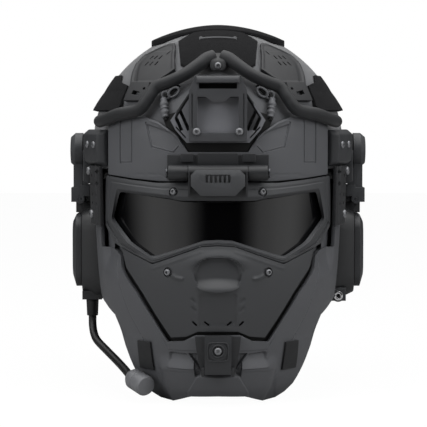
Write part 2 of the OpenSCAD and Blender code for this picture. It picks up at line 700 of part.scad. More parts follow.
// Chin pedestal, latch, pin and screw
module chin_block() {
    widths = [[156.4, 18.5], [166, 17.5], [176, 15.8], [187, 13.4]];
    drops = [156.4, 166, 176, 180, 187];
    us = steps(-1, 1, 6);
    lug_x = latch_w / 2 + gap;
    color("#2b2c2e") difference() {
        union() {
            sheet(
                [for (d = drops) [for (u = us) [u * lookup(d, widths), -chin_front, eq - d]]],
                [for (d = drops) [for (u = us) on_face(u * lookup(d, widths), d, jaw_out + gap)]]);
            for (s = [-1, 1]) translate([s * (lug_x + 1.1), -chin_front - 1.7, latch_axis_z])
                cube([2.2, 5.4, 7], center = true);
        }
        translate([0, latch_y, latch_axis_z]) rotate([0, 90, 0])
            cylinder(h = 4 * latch_w, r = 1.2 + run, center = true);
    }
}
module latch_pin() {
    color("#8d9092") translate([0, latch_y, latch_axis_z]) rotate([0, 90, 0])
        cylinder(h = latch_w + 2 * gap + 4.4, r = 1.2, center = true);
}
latch_top = eq - 155;
module chin_latch() {
    latch_t = 3.6;
    low = latch_axis_z - 1.9;
    color("#232426") difference() {
        union() {
            translate([0, latch_y + latch_t / 2, 0]) rotate([90, 0, 0]) linear_extrude(latch_t)
                translate([-latch_w / 2, low]) square([latch_w, latch_top - low]);
            translate([0, latch_y - latch_t / 2, latch_top - 12.5]) rotate([90, 0, 0])
                cylinder(h = 0.9, r = 7.4);
        }
        translate([0, latch_y, latch_axis_z]) rotate([0, 90, 0])
            cylinder(h = 2 * latch_w, r = 1.2 + run, center = true);
        translate([0, latch_y - latch_t / 2 - 0.9, latch_top - 12.5]) rotate([90, 0, 0])
            cylinder(h = 2.4, r = 4.8, center = true);
    }
}
module latch_screw() {
    color("#85888a") translate([0, latch_y - 3.1 + 1.1, latch_top - 12.5]) rotate([90, 0, 0])
        difference() {
            cylinder(h = 2, r1 = 3.6, r2 = 3);
            translate([0, 0, 1]) cylinder(h = 2, r = 1.5, $fn = 6);
        }
}

// Jaw guard
jaw_out = 1.5;
jaw_top = [[0, 155.5], [8.7, 155.5], [14.6, 160.6], [23, 161.8], [24.5, 158], [30.2, 141.6], [37.2, 123.7],
    [48, 104], [51, 95], [55, 92], [60, 90], [66.8, 89.5], [67.6, 44], [81, 43]];
jaw_low = [[0, 207], [14, 207.6], [22, 211], [30, 214], [40, 213], [47, 209], [51, 202], [54, 184],
    [56, 157], [59, 145.3], [65, 141.3], [70, 138], [81, 134]];
jaw_th = both_ways([0, 5, 8.7, 11, 14.6, 19, 23, 24.5, 27, 30.2, 33.5, 37.2, 40, 43, 46, 48.5,
    51, 52.5, 54, 56, 59, 62, 64.5, 66.8, 67.6, 70.5, 74, 78, 81]);
function ease(t) = let(c = clamp01(t)) c * c * (3 - 2 * c);
// Under the visor's sides the guard is drawn in, so that the visor can swing past it, and the
// chin stands out below two sloping faces
function jaw_off(th, drop) =
    let(
        a = abs(th),
        tuck = 6 * ease((116 - drop) / 24) * ease((a - 42) / 11) * ease((67 - a) / 4),
        start = a < 10 ? 187 : 171,
        chin = 4 * ease((drop - start) / (a < 10 ? 4 : 16)) * ease((32 - a) / 6)
    )
    jaw_out - tuck + chin;
module jaw_guard() {
    shares = [0, 0.2, 0.4, 0.52, 0.64, 0.82, 1];
    function drop_at(th, i) =
        let(top = lookup(abs(th), jaw_top), low = lookup(abs(th), jaw_low))
        low < 187 || top > 171 ? mix(top, low, shares[i])
        : i < 3 ? mix(top, 171, i / 2)
        : i == 3 ? 179
        : i == 4 ? 187
        : mix(187, low, (i - 4) / 2);
    function row(i, off) = [for (th = jaw_th)
        let(d = drop_at(th, i))
        face(th, d, jaw_off(th, d) - off)];
    color("#35363a") sheet([for (i = [0:6]) row(i, 0)], [for (i = [0:6]) row(i, jaw_t)]);
}

// Rubber flange inside the guard's upper edge, which the face plate closes against
module jaw_seal() {
    ths = both_ways([0, 5, 8.7, 14.6, 19, 23, 24.5, 27, 30.2, 33.5, 37.2, 40, 43, 46, 48]);
    shifts = [[-5, -5], [-2, -5], [2, -4.8], [6.5, -2.7]];
    function at(th, q, off) =
        let(d = lookup(abs(th), jaw_top) + q[0])
        face(th, d, q[1] + (q[0] > 5 ? jaw_off(th, d) - jaw_out : 0) + off);
    // Fins inside the guard's sides, behind the edges of the visor frame
    fin_drops = [38, 44, 60, 76, 90];
    fin_offs = [jaw_out - jaw_t - gap, -6.5, -11];
    color("#161616") {
        sheet(
            [for (q = shifts) [for (th = ths) at(th, q, 0)]],
            [for (q = shifts) [for (th = ths) at(th, q, -1.6)]]);
        both_sides() sheet(
            [for (d = fin_drops) [for (off = fin_offs) face(74.5, d, off)]],
            [for (d = fin_drops) [for (off = fin_offs) face(73.5, d, off)]]);
    }
}

// Blocks let on to the lower sides of the jaw guard
module jaw_inserts() {
    drops = [163, 171, 179, 187];
    front_th = [[163, 32.5], [193, 34.5]];
    back_th = [[163, 41], [193, 46]];
    function at(u, d, off) = face(mix(lookup(d, front_th), lookup(d, back_th), u), d, off);
    color("#28292b") both_sides() sheet(
        [for (d = drops) [for (u = steps(0, 1, 4)) at(u, d, jaw_out + gap + 1.8)]],
        [for (d = drops) [for (u = steps(0, 1, 4)) at(u, d, jaw_out + gap)]]);
}

// Perforated posts that hang the jaw guard from the side of the shell
post_t = 4.4;
module jaw_posts() {
    ths = [62.8, 65, 67.6, 70.5, 74, 77.5];
    drops = [22, 29, 36, 46, 56, 64, 71];
    under = jaw_out + gap;
    color("#303133") both_sides() difference() {
        sheet(
            [for (d = drops) [for (th = ths) face(th, d, under + post_t)]],
            [for (d = drops) [for (th = ths) face(th, d, under)]]);
        for (d = [30, 37.5, 46, 53.5]) post_hole(70, d);
    }
}
module post_hole(th, d) {
    translate(face(th, d, 0)) rotate([0, 90, th - 90]) cylinder(h = 30, r = 1.6, center = true);
}
// Side rails: a block at the front and a grooved bar along the shell's lower edge
rail_low_drop = 38;
block_top = -8.5;
block_low = 21.4;
module left_rail() {
    ths = [78.6, 84, 91, 98, 105, 112, 119, 126];
    block_th = [57, 59, 63, 68, 73, 77.6, 79];
    top = rail_low_drop - rail_h;
    profile = [[top, rail_d * 0.5], [top + 2, rail_d], [top + 10, rail_d], [top + 11, rail_d - 3],
        [top + 16, rail_d - 3], [top + 17, rail_d], [rail_low_drop - 2, rail_d],
        [rail_low_drop, rail_d * 0.5]];
    block = [[block_top, rail_d * 0.5], [block_top + 4, rail_d], [block_top + 16, rail_d],
        [block_low - 3, rail_d - 1], [block_low, rail_d * 0.5]];
    function at(th, drop, off) =
        oval(drawn_half() + off, shell_front + off, shell_back + off, plan_n, th, eq - drop);
    function side(th) = th < 58 ? 0.45 : 1;
    color("#2a2b2d") {
        sheet(
            [for (p = profile) [for (th = ths) at(th, p[0], gap + p[1])]],
            [for (p = profile) [for (th = ths) at(th, p[0], gap)]]);
        sheet(
            [for (p = block) [for (th = block_th) at(th, p[0], gap + p[1] * side(th))]],
            [for (p = block) [for (th = block_th) at(th, p[0], gap)]]);
    }
}
module right_rail() {
    mirror([1, 0, 0]) left_rail();
}
// Screws of the rails, and of the posts into the shell above and the jaw guard below
module side_screws() {
    color("#707376") both_sides() {
        for (q = [[61.5, 4], [69, 4], [108, 14], [120, 14]]) {
            off = rail_out + gap;
            translate(oval(drawn_half() + off, shell_front + off, shell_back + off, plan_n, q[0], eq - q[1]))
                rotate([0, 90, q[0] - 90]) cylinder(h = 1.6, r1 = 3, r2 = 2.4);
        }
        for (q = [[74.5, 26.5], [70.5, 62.5]])
            translate(face(q[0], q[1], jaw_out + 2 * gap + post_t)) rotate([0, 90, q[0] - 90])
            cylinder(h = 2.4, r1 = 4, r2 = 3.2);
    }
}

// Ear cup arms: a disc that turns on the rail, a slotted link and a fork for the cup
arm_in = half_w + rail_out + 0.8;
arm_t = 10.5;
module left_arm() {
    disc_r = 15;
    fork_w = 30;
    link_t = 9.6;
    color("#262729") difference() {
        union() {
            translate([arm_in, pivot_y, eq - pivot_drop]) rotate([0, 90, 0])
                rotate_extrude() polygon([[0, 0], [disc_r, 0], [disc_r, arm_t - 4], [disc_r - 3.5, arm_t],
                    [0, arm_t]]);
            translate([arm_in, pivot_y - 9, eq - swing_drop + 7])
                cube([link_t - 1.6, 18, swing_drop - pivot_drop - 7]);
            translate([arm_in, pivot_y - fork_w / 2, eq - swing_drop - 2.5]) cube([link_t, fork_w, 12.5]);
            translate([arm_in - 6.5, pivot_y - fork_w / 2, eq - swing_drop + 2.5]) cube([8, fork_w, 9.7]);
            translate([swing_x, pivot_y, eq - swing_drop]) rotate([90, 0, 0])
                cylinder(h = fork_w, r = 4, center = true);
        }
        translate([arm_in - 1, pivot_y - 4.5, eq - swing_drop + 13]) cube([12, 9, 12]);
        translate([swing_x, pivot_y, eq - swing_drop]) {
            rotate([90, 0, 0]) cylinder(h = 60, r = 1.5 + run, center = true);
            cube([30, 14, 17], center = true);
        }
    }
}
module right_arm() {
    mirror([1, 0, 0]) left_arm();
}
module left_arm_pin() {
    color("#8d9092") translate([swing_x, pivot_y, eq - swing_drop]) rotate([90, 0, 0])
        cylinder(h = 30, r = 1.5, center = true);
}
module right_arm_pin() {
    mirror([1, 0, 0]) left_arm_pin();
}

// Ear cup body, hollow on the ear's side, with the lug that hangs it in the arm's fork
function cup_corners(inset) = [for (y = [-1, 1], z = [-1, 1])
    [pivot_y + y * (cup_w / 2 - inset), eq - cup_mid_drop + z * (cup_h / 2 - inset)]];
module ear_cup() {
    half_t = cup_t / 2;
    color("#2a2b2d") difference() {
        union() {
            hull() {
                for (c = cup_corners(22)) translate([cup_in, c[0], c[1]]) rotate([0, 90, 0])
                    cylinder(h = half_t, r = 22, $fn = 32);
                for (c = cup_corners(22)) translate([cup_in + half_t, c[0], c[1]]) rotate([0, 90, 0])
                    cylinder(h = half_t, r = 16, $fn = 32);
            }
            translate([swing_x - 15, pivot_y - 6.5, eq - swing_drop - cup_hang - 7])
                cube([19, 13, cup_hang + 4]);
            translate([swing_x - 4, pivot_y - 6.5, eq - swing_drop - 6]) cube([8, 13, 6]);
            translate([swing_x, pivot_y, eq - swing_drop]) rotate([90, 0, 0])
                cylinder(h = 13, r = 4, center = true);
        }
        translate([cup_in - 1, pivot_y - 21, eq - cup_mid_drop - 27]) cube([15, 42, 54]);
        translate([swing_x, pivot_y, eq - swing_drop]) rotate([90, 0, 0])
            cylinder(h = 60, r = 1.5 + run, center = true);
    }
}
// The left cup has a pocket for the audio socket
socket_half = 6.7;
module left_ear_cup() {
    difference() {
        ear_cup();
        translate([jack_x - socket_half - gap, jack_y - 20, eq - jack_drop - 8])
            cube([2 * (socket_half + gap), 20 + gap, 15 + gap]);
    }
}
// The right cup has a foot for the boom sleeve
module right_ear_cup() {
    foot = [17, 12, 7.5];
    color("#2a2b2d") union() {
        mirror([1, 0, 0]) ear_cup();
        translate([-cup_in - 15.3 - foot[0] / 2, -8 - foot[1] / 2, eq - cup_mid_drop - cup_h / 2]) cube(foot);
    }
}
module left_ear_cover() {
    x = cup_in + cup_t + gap;
    color("#3b3c3f") hull() {
        for (c = cup_corners(20)) translate([x, c[0], c[1] + (c[1] < eq - cup_mid_drop ? 5 : -2)])
            rotate([0, 90, 0]) cylinder(h = cover_t - 3, r = 14, $fn = 32);
        for (c = cup_corners(24)) translate([x, c[0], c[1] + (c[1] < eq - cup_mid_drop ? 8 : -2)])
            rotate([0, 90, 0]) cylinder(h = cover_t, r = 12, $fn = 32);
    }
}
module right_ear_cover() {
    mirror([1, 0, 0]) left_ear_cover();
}

// Ear cushion: a stuffed ring, fuller in the middle of its section
module left_ear_cushion() {
    sides = 12;
    tube_w = 15;
    x_mid = cup_in - gap - cushion_t / 2;
    rings = 36;
    function spine(a) = [pivot_y + (cup_w / 2 - tube_w / 2) * spow(cos(a), 0.7),
        eq - cup_mid_drop + (cup_h / 2 - tube_w / 2) * spow(sin(a), 0.7)];
    function out(a) = unit([cos(a) * cup_h, sin(a) * cup_w]);
    function section(a) = [for (k = [0:sides - 1])
        let(c = cos(360 * k / sides), s = sin(360 * k / sides))
        [x_mid + cushion_t / 2 * spow(s, 0.75),
            spine(a)[0] + out(a)[0] * tube_w / 2 * c, spine(a)[1] + out(a)[1] * tube_w / 2 * c]];
    color("#161616") loft([for (i = [0:rings - 1]) section(360 * i / rings)], closed = true);
}
module right_ear_cushion() {
    mirror([1, 0, 0]) left_ear_cushion();
}

// Audio socket at the foot of the left cup, and its bright collar
module audio_socket() {
    color("#1a1a1a") difference() {
        union() {
            translate([jack_x, jack_y, eq - jack_drop]) rotate([90, 0, 0]) cylinder(h = 10, r = 5.4);
            translate([jack_x - socket_half, jack_y - 10, eq - jack_drop - 4.5])
                cube([2 * socket_half, 10, 11.5]);
        }
        translate([jack_x, jack_y + 1, eq - jack_drop]) rotate([90, 0, 0])
            cylinder(h = 14, r = jack_r + 1.5);
    }
}
module socket_collar() {
    color("#c9cbcc") translate([jack_x, jack_y - gap, eq - jack_drop]) rotate([90, 0, 0]) difference() {
        union() {
            cylinder(h = 9.7, r = jack_r + 1.45);
            translate([0, 0, 10]) cylinder(h = 1.2, r = 4);
            translate([0, 0, 9]) cylinder(h = 2, r = jack_r + 1.45);
        }
        translate([0, 0, -1]) cylinder(h = 14, r = jack_r);
    }
}

// Microphone boom
boom_y = -8;
sleeve_top = -cup_mid_drop - cup_h / 2 - gap;
boom_route = [[-109.5, boom_y, -143], [-109.5, boom_y, -149], [-109.5, boom_y, -155],
    [-109.2, -11, -162], [-107.6, -18, -168.6], [-104, -28, -173.8], [-95.6, -43, -180], [-84.5, -66, -187.2],
    [-76.4, -87.6, -192.2], [-73.2, -98.6, -194.6]];
// It follows the guard's width where the middle of the capsule lies, mic_reach further in
mic_reach = 7;
function along(y) =
    let(lip = lookup(180, face_df) + boom_y)
    boom_y + (y - boom_y) * (shell_front + lip) / (drawn_reach(-1) + lip);
function below(z) = z + (sleeve_top + 139.8) * clamp01((z + 187) / 32);
boom_path = spline([for (p = boom_route)
    [wide(p[0] + mic_reach) - mic_reach, along(p[1]), eq + below(p[2])]], 3);
boom_top = boom_path[0];
module boom_sleeve() {
    color("#121212") translate([boom_top[0], boom_y, eq + sleeve_top - 14]) difference() {
        cylinder(h = 14, r1 = 4.8, r2 = 5.4);
        translate([0, 0, -1]) cylinder(h = 12, r = boom_r + 0.3);
    }
}
module mic_boom() {
    color("#0f0f0f") tube(boom_path, boom_r, 10, [0.55, -0.83, 0.05]);
}
mic_dir = unit([0.52, -0.83, -0.2]);
module mic_capsule() {
    base = boom_path[len(boom_path) - 1];
    turn = [0, acos(mic_dir[2]), atan2(mic_dir[1], mic_dir[0])];
    color("#242424") translate(base + mic_dir * 1.2) rotate(turn) rotate_extrude() polygon([
        [0, 0], [4.6, 0], [mic_r - 2, 3], [mic_r, 7], [mic_r, 14], [mic_r - 0.5, 14.4], [mic_r - 0.5, 15],
        [mic_r, 15.4], [mic_r, 25], [mic_r - 1.2, 27], [0, 27]]);
}

// Lining: foam pads against the shell, the head band and its dial
module crown_pad() {
    rows = steps(46, -46, 6);
    function width(y) = 46 * pow(1 - pow(abs(y) / 47.5, 3), 1 / 3);
    function row(y, off) = [for (u = steps(-1, 1, 6)) on_crown(u * width(y), y, off)];
    function flat(y) = [for (u = steps(-1, 1, 6)) [u * width(y) * 0.9, y * 0.9, 0]];
    color("#202020") sheet([for (y = rows) row(y, -shell_t - gap)], [for (y = rows) flat(y)]);
}
module pad_patch(th0, th1, v0, v1) {
    rows = steps(v0, v1, 4);
    cols = steps(th0, th1, 6);
    function edge(i, n) = (i == 0 || i == n) ? 0.45 : 1;
    outer_off = -shell_t - 2 * gap;
    sheet(
        [for (v = rows) [for (th = cols) dome(th, v, outer_off)]],
        [for (i = [0:4]) [for (j = [0:6])
            dome(cols[j], rows[i], outer_off - pad_t * edge(i, 4) * edge(j, 6))]]);
}
module front_pad() {
    color("#202020") pad_patch(-30, 30, 0.72, 1.5);
}
module rear_pad() {
    color("#202020") pad_patch(152, 208, 0.66, 1.15);
}
module side_pads() {
    color("#202020") for (s = [-1, 1]) {
        pad_patch(s == 1 ? 48 : -82, s == 1 ? 82 : -48, 0.66, 1.5);
        pad_patch(s == 1 ? 102 : -136, s == 1 ? 136 : -102, 0.66, 1.5);
    }
}

band_t = 1.6;
band_inset = shell_t + pad_t + 3 * gap;
function band_drop(th) = 8 + 72 * pow((1 - cos(th)) / 2, 2.6);
module head_band() {
    cols = [for (i = [0:39]) -180 + 9 * i];
    function at(th, d, off) = oval(drawn_half() + off - band_inset, shell_front + off - band_inset,
        shell_back + off - band_inset, plan_n, th, eq - band_drop(th) - d);
    color("#2a2a2a") sheet(
        [for (d = [-8, 8]) [for (th = cols) at(th, d, 0)]],
        [for (d = [-8, 8]) [for (th = cols) at(th, d, -band_t)]], wrap = true);
}

dial_y = shell_back - band_inset + 0.5;
dial_z = eq - band_drop(180);
dial_r = 17;
module dial_housing() {
    color("#232323") difference() {
        union() {
            translate([0, dial_y, dial_z]) rotate([-90, 0, 0]) cylinder(h = 5, r = 19);
            for (s = [-1, 1]) translate([s * 22 - 9, dial_y, dial_z - 6]) cube([18, 4, 12]);
        }
        translate([0, dial_y - 1, dial_z]) rotate([-90, 0, 0]) cylinder(h = 20, r = 3 + run);
    }
}
module dial_knob() {
    color("#3a3a3a") translate([0, dial_y + 5 + gap, dial_z]) rotate([-90, 0, 0]) difference() {
        union() {
            cylinder(h = 9, r = dial_r);
            translate([0, 0, -5 - gap]) cylinder(h = 6, r = 3);
        }
        for (i = [0:17]) rotate([0, 0, i * 20]) translate([dial_r + 0.6, 0, -1])
            cylinder(h = 12, r = 1.5);
        translate([0, 0, 7.5]) cylinder(h = 3, r = dial_r - 5);
    }
}

helmet_shell();
edge_trim();
crown_loop_panel();
front_loop_panel();
side_loop_panels();
rear_loop_panel();
left_vent_panel();
right_vent_panel();
brow_plate();
bumper();
crown_boss();
shroud_base();
shroud_plate();
shroud_screws();
bungees();
bungee_toggles();
hinge_bracket();
hinge_pin();
visor_hinge_block();
release_button();
visor_frame();
lens();
lens_gasket();
face_plate();
breath_filter();
nose_cover();
face_screws();
chin_block();
latch_pin();
chin_latch();
latch_screw();
jaw_guard();
jaw_seal();
jaw_inserts();
jaw_posts();
left_rail();
right_rail();
side_screws();
left_arm();
right_arm();
left_arm_pin();
right_arm_pin();
left_ear_cup();
right_ear_cup();
left_ear_cover();
right_ear_cover();
left_ear_cushion();
right_ear_cushion();
audio_socket();
socket_collar();
boom_sleeve();
mic_boom();
mic_capsule();
crown_pad();
front_pad();
rear_pad();
side_pads();
head_band();
dial_housing();
dial_knob();
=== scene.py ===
import math

import bmesh
import bpy
from bpy.props import FloatProperty, FloatVectorProperty, IntProperty, PointerProperty
from mathutils import Matrix, Vector
from mathutils.geometry import intersect_point_line


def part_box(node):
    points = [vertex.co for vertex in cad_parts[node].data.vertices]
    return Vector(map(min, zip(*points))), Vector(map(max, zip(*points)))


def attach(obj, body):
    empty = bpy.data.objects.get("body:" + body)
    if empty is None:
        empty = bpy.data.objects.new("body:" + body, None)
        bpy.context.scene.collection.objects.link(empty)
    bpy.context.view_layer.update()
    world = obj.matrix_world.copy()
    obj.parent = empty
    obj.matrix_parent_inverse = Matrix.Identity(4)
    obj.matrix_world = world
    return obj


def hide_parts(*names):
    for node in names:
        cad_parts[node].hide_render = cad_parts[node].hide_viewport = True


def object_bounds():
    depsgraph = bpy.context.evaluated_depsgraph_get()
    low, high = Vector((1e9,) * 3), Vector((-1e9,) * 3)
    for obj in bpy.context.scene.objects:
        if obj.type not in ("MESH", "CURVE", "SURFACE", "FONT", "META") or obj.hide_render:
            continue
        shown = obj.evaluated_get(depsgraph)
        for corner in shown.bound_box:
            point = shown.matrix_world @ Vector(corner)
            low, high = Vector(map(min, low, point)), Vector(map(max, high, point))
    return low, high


bl_info = {
    "name": "Full Face Helmet",
    "version": (1, 0, 0),
    "blender": (4, 5, 0),
    "location": "3D View > Sidebar > Helmet",
    "description": "Dresses the packed helmet with detailed surfaces and finishes",
    "category": "Object",
}

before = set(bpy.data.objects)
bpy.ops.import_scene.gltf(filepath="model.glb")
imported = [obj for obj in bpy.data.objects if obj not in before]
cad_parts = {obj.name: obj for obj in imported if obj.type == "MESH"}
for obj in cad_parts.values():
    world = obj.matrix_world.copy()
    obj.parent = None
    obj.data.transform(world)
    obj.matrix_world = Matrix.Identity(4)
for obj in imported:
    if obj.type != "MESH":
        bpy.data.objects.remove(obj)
CAD_BOX = [list(corner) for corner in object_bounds()]
MM = 0.001
TO_MM = 1000.0
# Points closer than this, in metres, are one: in the script's own meshes, and in copies of CAD nodes
MERGE, CAD_MERGE = 2e-6, 2e-5

# Shape values in mm. Those of the shell, the face and the cups are the same as in the part's source

# Height of the shell's widest line. A drop is measured down from it
EQ = -75.7
HALF_W, FRONT, BACK, RISE, SHELL_T = 108.0, 124.0, 131.0, 97.0, 4.0
# How square the ovals are: shell and face from above, and the dome from the side
PLAN_N, FACE_N, DOME_M = 2.1, 2.25, 1.88
# Drop of the shell's rim, by the angle from the front
RIM_DROP = [(0, 24), (62, 24), (75, 36), (110, 38), (140, 50), (180, 58)]
# How much wider and further forward the face is than the shell, by drop
FACE_DW = [(20, -1), (50, -2), (80, -3), (105, -4.5), (130, -7), (155, -13), (180, -21), (200, -30),
           (215, -42)]
FACE_DF = [(20, 12), (50, 20), (80, 26), (105, 29), (130, 27), (155, 23), (180, 17), (200, 8), (215, -4)]
# Usual clearance between neighbours
GAP = 0.3
# What is fixed to the shell starts this far off it
SEAT = 0.35
# How far the jaw guard stands out from the face's surface, and its thickness
JAW_OUT, JAW_T = 1.5, 3.5
# The visor frame reaches 95 mm from the middle, and what lies beside it starts here
EAR_X = 96
# The boss over the shroud: its front, and how far its screw sits above the widest line
BOSS_FACE, BOSS_SCREW = -108.5, 61.2
# Half the thickness of the padded arms, the elastic cords, the microphone boom and the rim trim
BUMPER_R, CORD_R, BOOM_R, TRIM_R = 5.2, 1.4, 3.4, 1.7
# Screw seats of the visor frame and of the face plate, as x and drop
FRAME_SEAT, PLATE_SEAT = (35.7, 40.9), (40.3, 105.1)
# The nose cover's middle, as a drop, and its half width and height
NOSE_DROP, NOSE_W, NOSE_H = 106, 20.6, 14.6
# Drop of the chin latch's screw
LATCH_DROP = 167.5
# The ear cups: how far out they start, and the height and place along y of their middle
CUP_IN, CUP_Z, PIVOT_Y = 94.2, EQ - 98.5, 12.0
# The lens lies this far behind the face's surface, and is this thick
LENS_DEEP, LENS_T = 5.3, 2.2
# The pads inside the shell: how deep below its outside they start, and their thickness
PAD_DEEP, PAD_T = SHELL_T + 0.6, 11
# Outline of the lens opening and of the visor frame, as x and drop, from the top to the bottom
LENS_HALF = [(0, 47.8), (30, 47.9), (39.5, 46.2), (60, 44.2), (81, 42.2), (86.5, 64.3), (70.6, 82.6),
             (52.8, 93.4), (11.6, 79.5), (0, 78.9)]
FRAME_HALF = [(0, 33.2), (24, 33.2), (48.5, 34), (72, 32), (93.5, 29.5), (95, 69), (85.9, 84.4), (53, 98.6),
              (13.6, 84), (0, 83.2)]


def lookup(v, table):
    """Straight-line value between the rows of a table."""
    if v <= table[0][0]:
        return table[0][1]
    for (a, fa), (b, fb) in zip(table, table[1:]):
        if v <= b:
            return fa + (fb - fa) * (v - a) / (b - a)
    return table[-1][1]


def smooth_lookup(v, table):
    """Smooth value through the rows of a table, without overshoot."""
    if v <= table[0][0]:
        return table[0][1]
    if v >= table[-1][0]:
        return table[-1][1]
    rises = [(b[1] - a[1]) / (b[0] - a[0]) for a, b in zip(table, table[1:])]

    def slope(i):
        if i == 0:
            return rises[0]
        if i == len(table) - 1:
            return rises[-1]
        p, q = rises[i - 1], rises[i]
        return 0 if p * q <= 0 else 2 * p * q / (p + q)

    for i in range(len(table) - 1):
        (a, fa), (b, fb) = table[i], table[i + 1]
        if v <= b:
            h = b - a
            t = (v - a) / h
            return ((2 * t**3 - 3 * t**2 + 1) * fa + (t**3 - 2 * t**2 + t) * h * slope(i)
                    + (3 * t**2 - 2 * t**3) * fb + (t**3 - t**2) * h * slope(i + 1))


def spow(v, p):
    """A power that keeps the sign."""
    return math.copysign(abs(v) ** p, v)


def mix(a, b, t):
    """The share t of the way from a to b, for numbers or points."""
    if isinstance(a, (tuple, list, Vector)):
        return tuple(x + (y - x) * t for x, y in zip(a, b))
    return a + (b - a) * t


def clamp01(t):
    return min(1.0, max(0.0, t))


def ease(t):
    """Goes smoothly from 0 to 1 and stays there."""
    c = clamp01(t)
    return c * c * (3 - 2 * c)


def steps(a, b, n):
    """Evenly spaced values from a to b, both included."""
    return [a + (b - a) * i / n for i in range(n + 1)]


def fine_steps(values, step):
    """The values with even steps let in between them, no longer than step."""
    out = [values[0]]
    for a, b in zip(values, values[1:]):
        n = max(1, math.ceil(abs(b - a) / step))
        out += [a + (b - a) * i / n for i in range(1, n + 1)]
    return out


def both_ways(values):
    """The values with their mirror images in front of them."""
    return [-v for v in reversed(values) if v != 0] + list(values)


def circle(sides):
    """Evenly spaced angles round a circle."""
    return [2 * math.pi * k / sides for k in range(sides)]


def oval(w, f, b, n, th, z):
    """The point at th degrees from the front, on an oval with its own front and back reach."""
    s, c = math.sin(math.radians(th)), math.cos(math.radians(th))
    return (w * spow(s, 2 / n), (-f if c >= 0 else b) * abs(c) ** (2 / n), z)


def rim_at(th):
    th = abs(th) % 360
    return smooth_lookup(360 - th if th > 180 else th, RIM_DROP)


def dome(th, v, off):
    """The shell: v is 0 near the crown, 1 at the widest line and 2 at the rim."""
    phi = math.radians(mix(5, 90, v)) if v < 1 else math.pi / 2
    k = math.sin(phi) ** (2 / DOME_M)
    z = EQ + (RISE + off) * math.cos(phi) ** (2 / DOME_M) if v < 1 else EQ - (v - 1) * rim_at(th)
    return oval((HALF_W + off) * k, (FRONT + off) * k, (BACK + off) * k, PLAN_N, th, z)


def on_dome(x, drop, off):
    """The front of the shell at a place seen from the front."""
    rise = max(0, -drop) / (RISE + off)
    k = (1 - min(rise, 0.99) ** DOME_M) ** (1 / DOME_M)
    r = min(abs(x) / ((HALF_W + off) * k), 0.999)
    return (x, -(FRONT + off) * k * (1 - r**PLAN_N) ** (1 / PLAN_N), EQ - drop)


def on_crown(x, y, off):
    """The top of the shell at a place seen from above."""
    b = (FRONT if y < 0 else BACK) + off
    r = ((abs(x) / (HALF_W + off)) ** PLAN_N + (abs(y) / b) ** PLAN_N) ** (1 / PLAN_N)
    return (x, y, EQ + (RISE + off) * (1 - min(r, 0.99) ** DOME_M) ** (1 / DOME_M))


def rail_point(th, drop, off):
    """The upright surface that the rails follow."""
    return oval(HALF_W + off, FRONT + off, BACK + off, PLAN_N, th, EQ - drop)


def face_w(drop):
    return HALF_W + smooth_lookup(drop, FACE_DW)


def face_f(drop):
    return FRONT + smooth_lookup(drop, FACE_DF)


def face(th, drop, off):
    """The face's surface at th degrees from the front."""
    return oval(face_w(drop) + off, face_f(drop) + off, BACK, FACE_N, th, EQ - drop)


def on_face(x, drop, off):
    """The face's surface at a place seen from the front."""
    r = min(abs(x) / (face_w(drop) + off), 0.999)
    return (x, -(face_f(drop) + off) * (1 - r**FACE_N) ** (1 / FACE_N), EQ - drop)


def normal_at(surface, u, w):
    """Outward direction of a surface at (u, w)."""
    du = Vector(surface(u + 0.5, w, 0)) - Vector(surface(u - 0.5, w, 0))
    dw = Vector(surface(u, w + 0.5, 0)) - Vector(surface(u, w - 0.5, 0))
    return dw.cross(du).normalized()


def line_distance(p, points):
    """Distance from p to a broken line."""
    best = 1e9
    q = Vector((p[0], p[1]))
    for a, b in zip(points, points[1:]):
        a, b = Vector(a), Vector(b)
        near, t = intersect_point_line(q, a, b)
        near = a if t < 0 else b if t > 1 else near
        best = min(best, (q - near).length)
    return best


def inside(p, corners):
    """True for a point within a closed outline."""
    x, y = p
    hit = False
    for (x0, y0), (x1, y1) in zip(corners, corners[1:] + corners[:1]):
        if (y0 > y) != (y1 > y) and x < (x1 - x0) * (y - y0) / (y1 - y0) + x0:
            hit = not hit
    return hit


def groove(p, points, width, depth):
    """Depth of a rounded groove along a broken line."""
    return -depth * ease(1.3 - 1.3 * line_distance(p, points) / (width / 2)) if depth else 0


def sunk(p, corners, depth, slope):
    """Depth of a sunk panel, its walls sloping over the given width."""
    if not inside(p, corners):
        return 0
    return -depth * ease(line_distance(p, corners + corners[:1]) / slope)


# Mesh making


def linked(name, data):
    """A new object in the scene."""
    obj = bpy.data.objects.new(name, data)
    bpy.context.scene.collection.objects.link(obj)
    return obj


def discard(obj):
    bpy.data.objects.remove(obj, do_unlink=True)


def new_object(name, verts, faces, scale=MM):
    mesh = bpy.data.meshes.new(name)
    mesh.from_pydata([tuple(c * scale for c in v) for v in verts], [], faces)
    return linked(name, mesh)


def clean(obj):
    """Merges doubles and turns all faces outwards."""
    bm = bmesh.new()
    bm.from_mesh(obj.data)
    bmesh.ops.remove_doubles(bm, verts=bm.verts, dist=MERGE)
    bmesh.ops.dissolve_degenerate(bm, edges=bm.edges, dist=1e-7)
    bmesh.ops.recalc_face_normals(bm, faces=bm.faces)
    bm.to_mesh(obj.data)
    bm.free()
    return obj


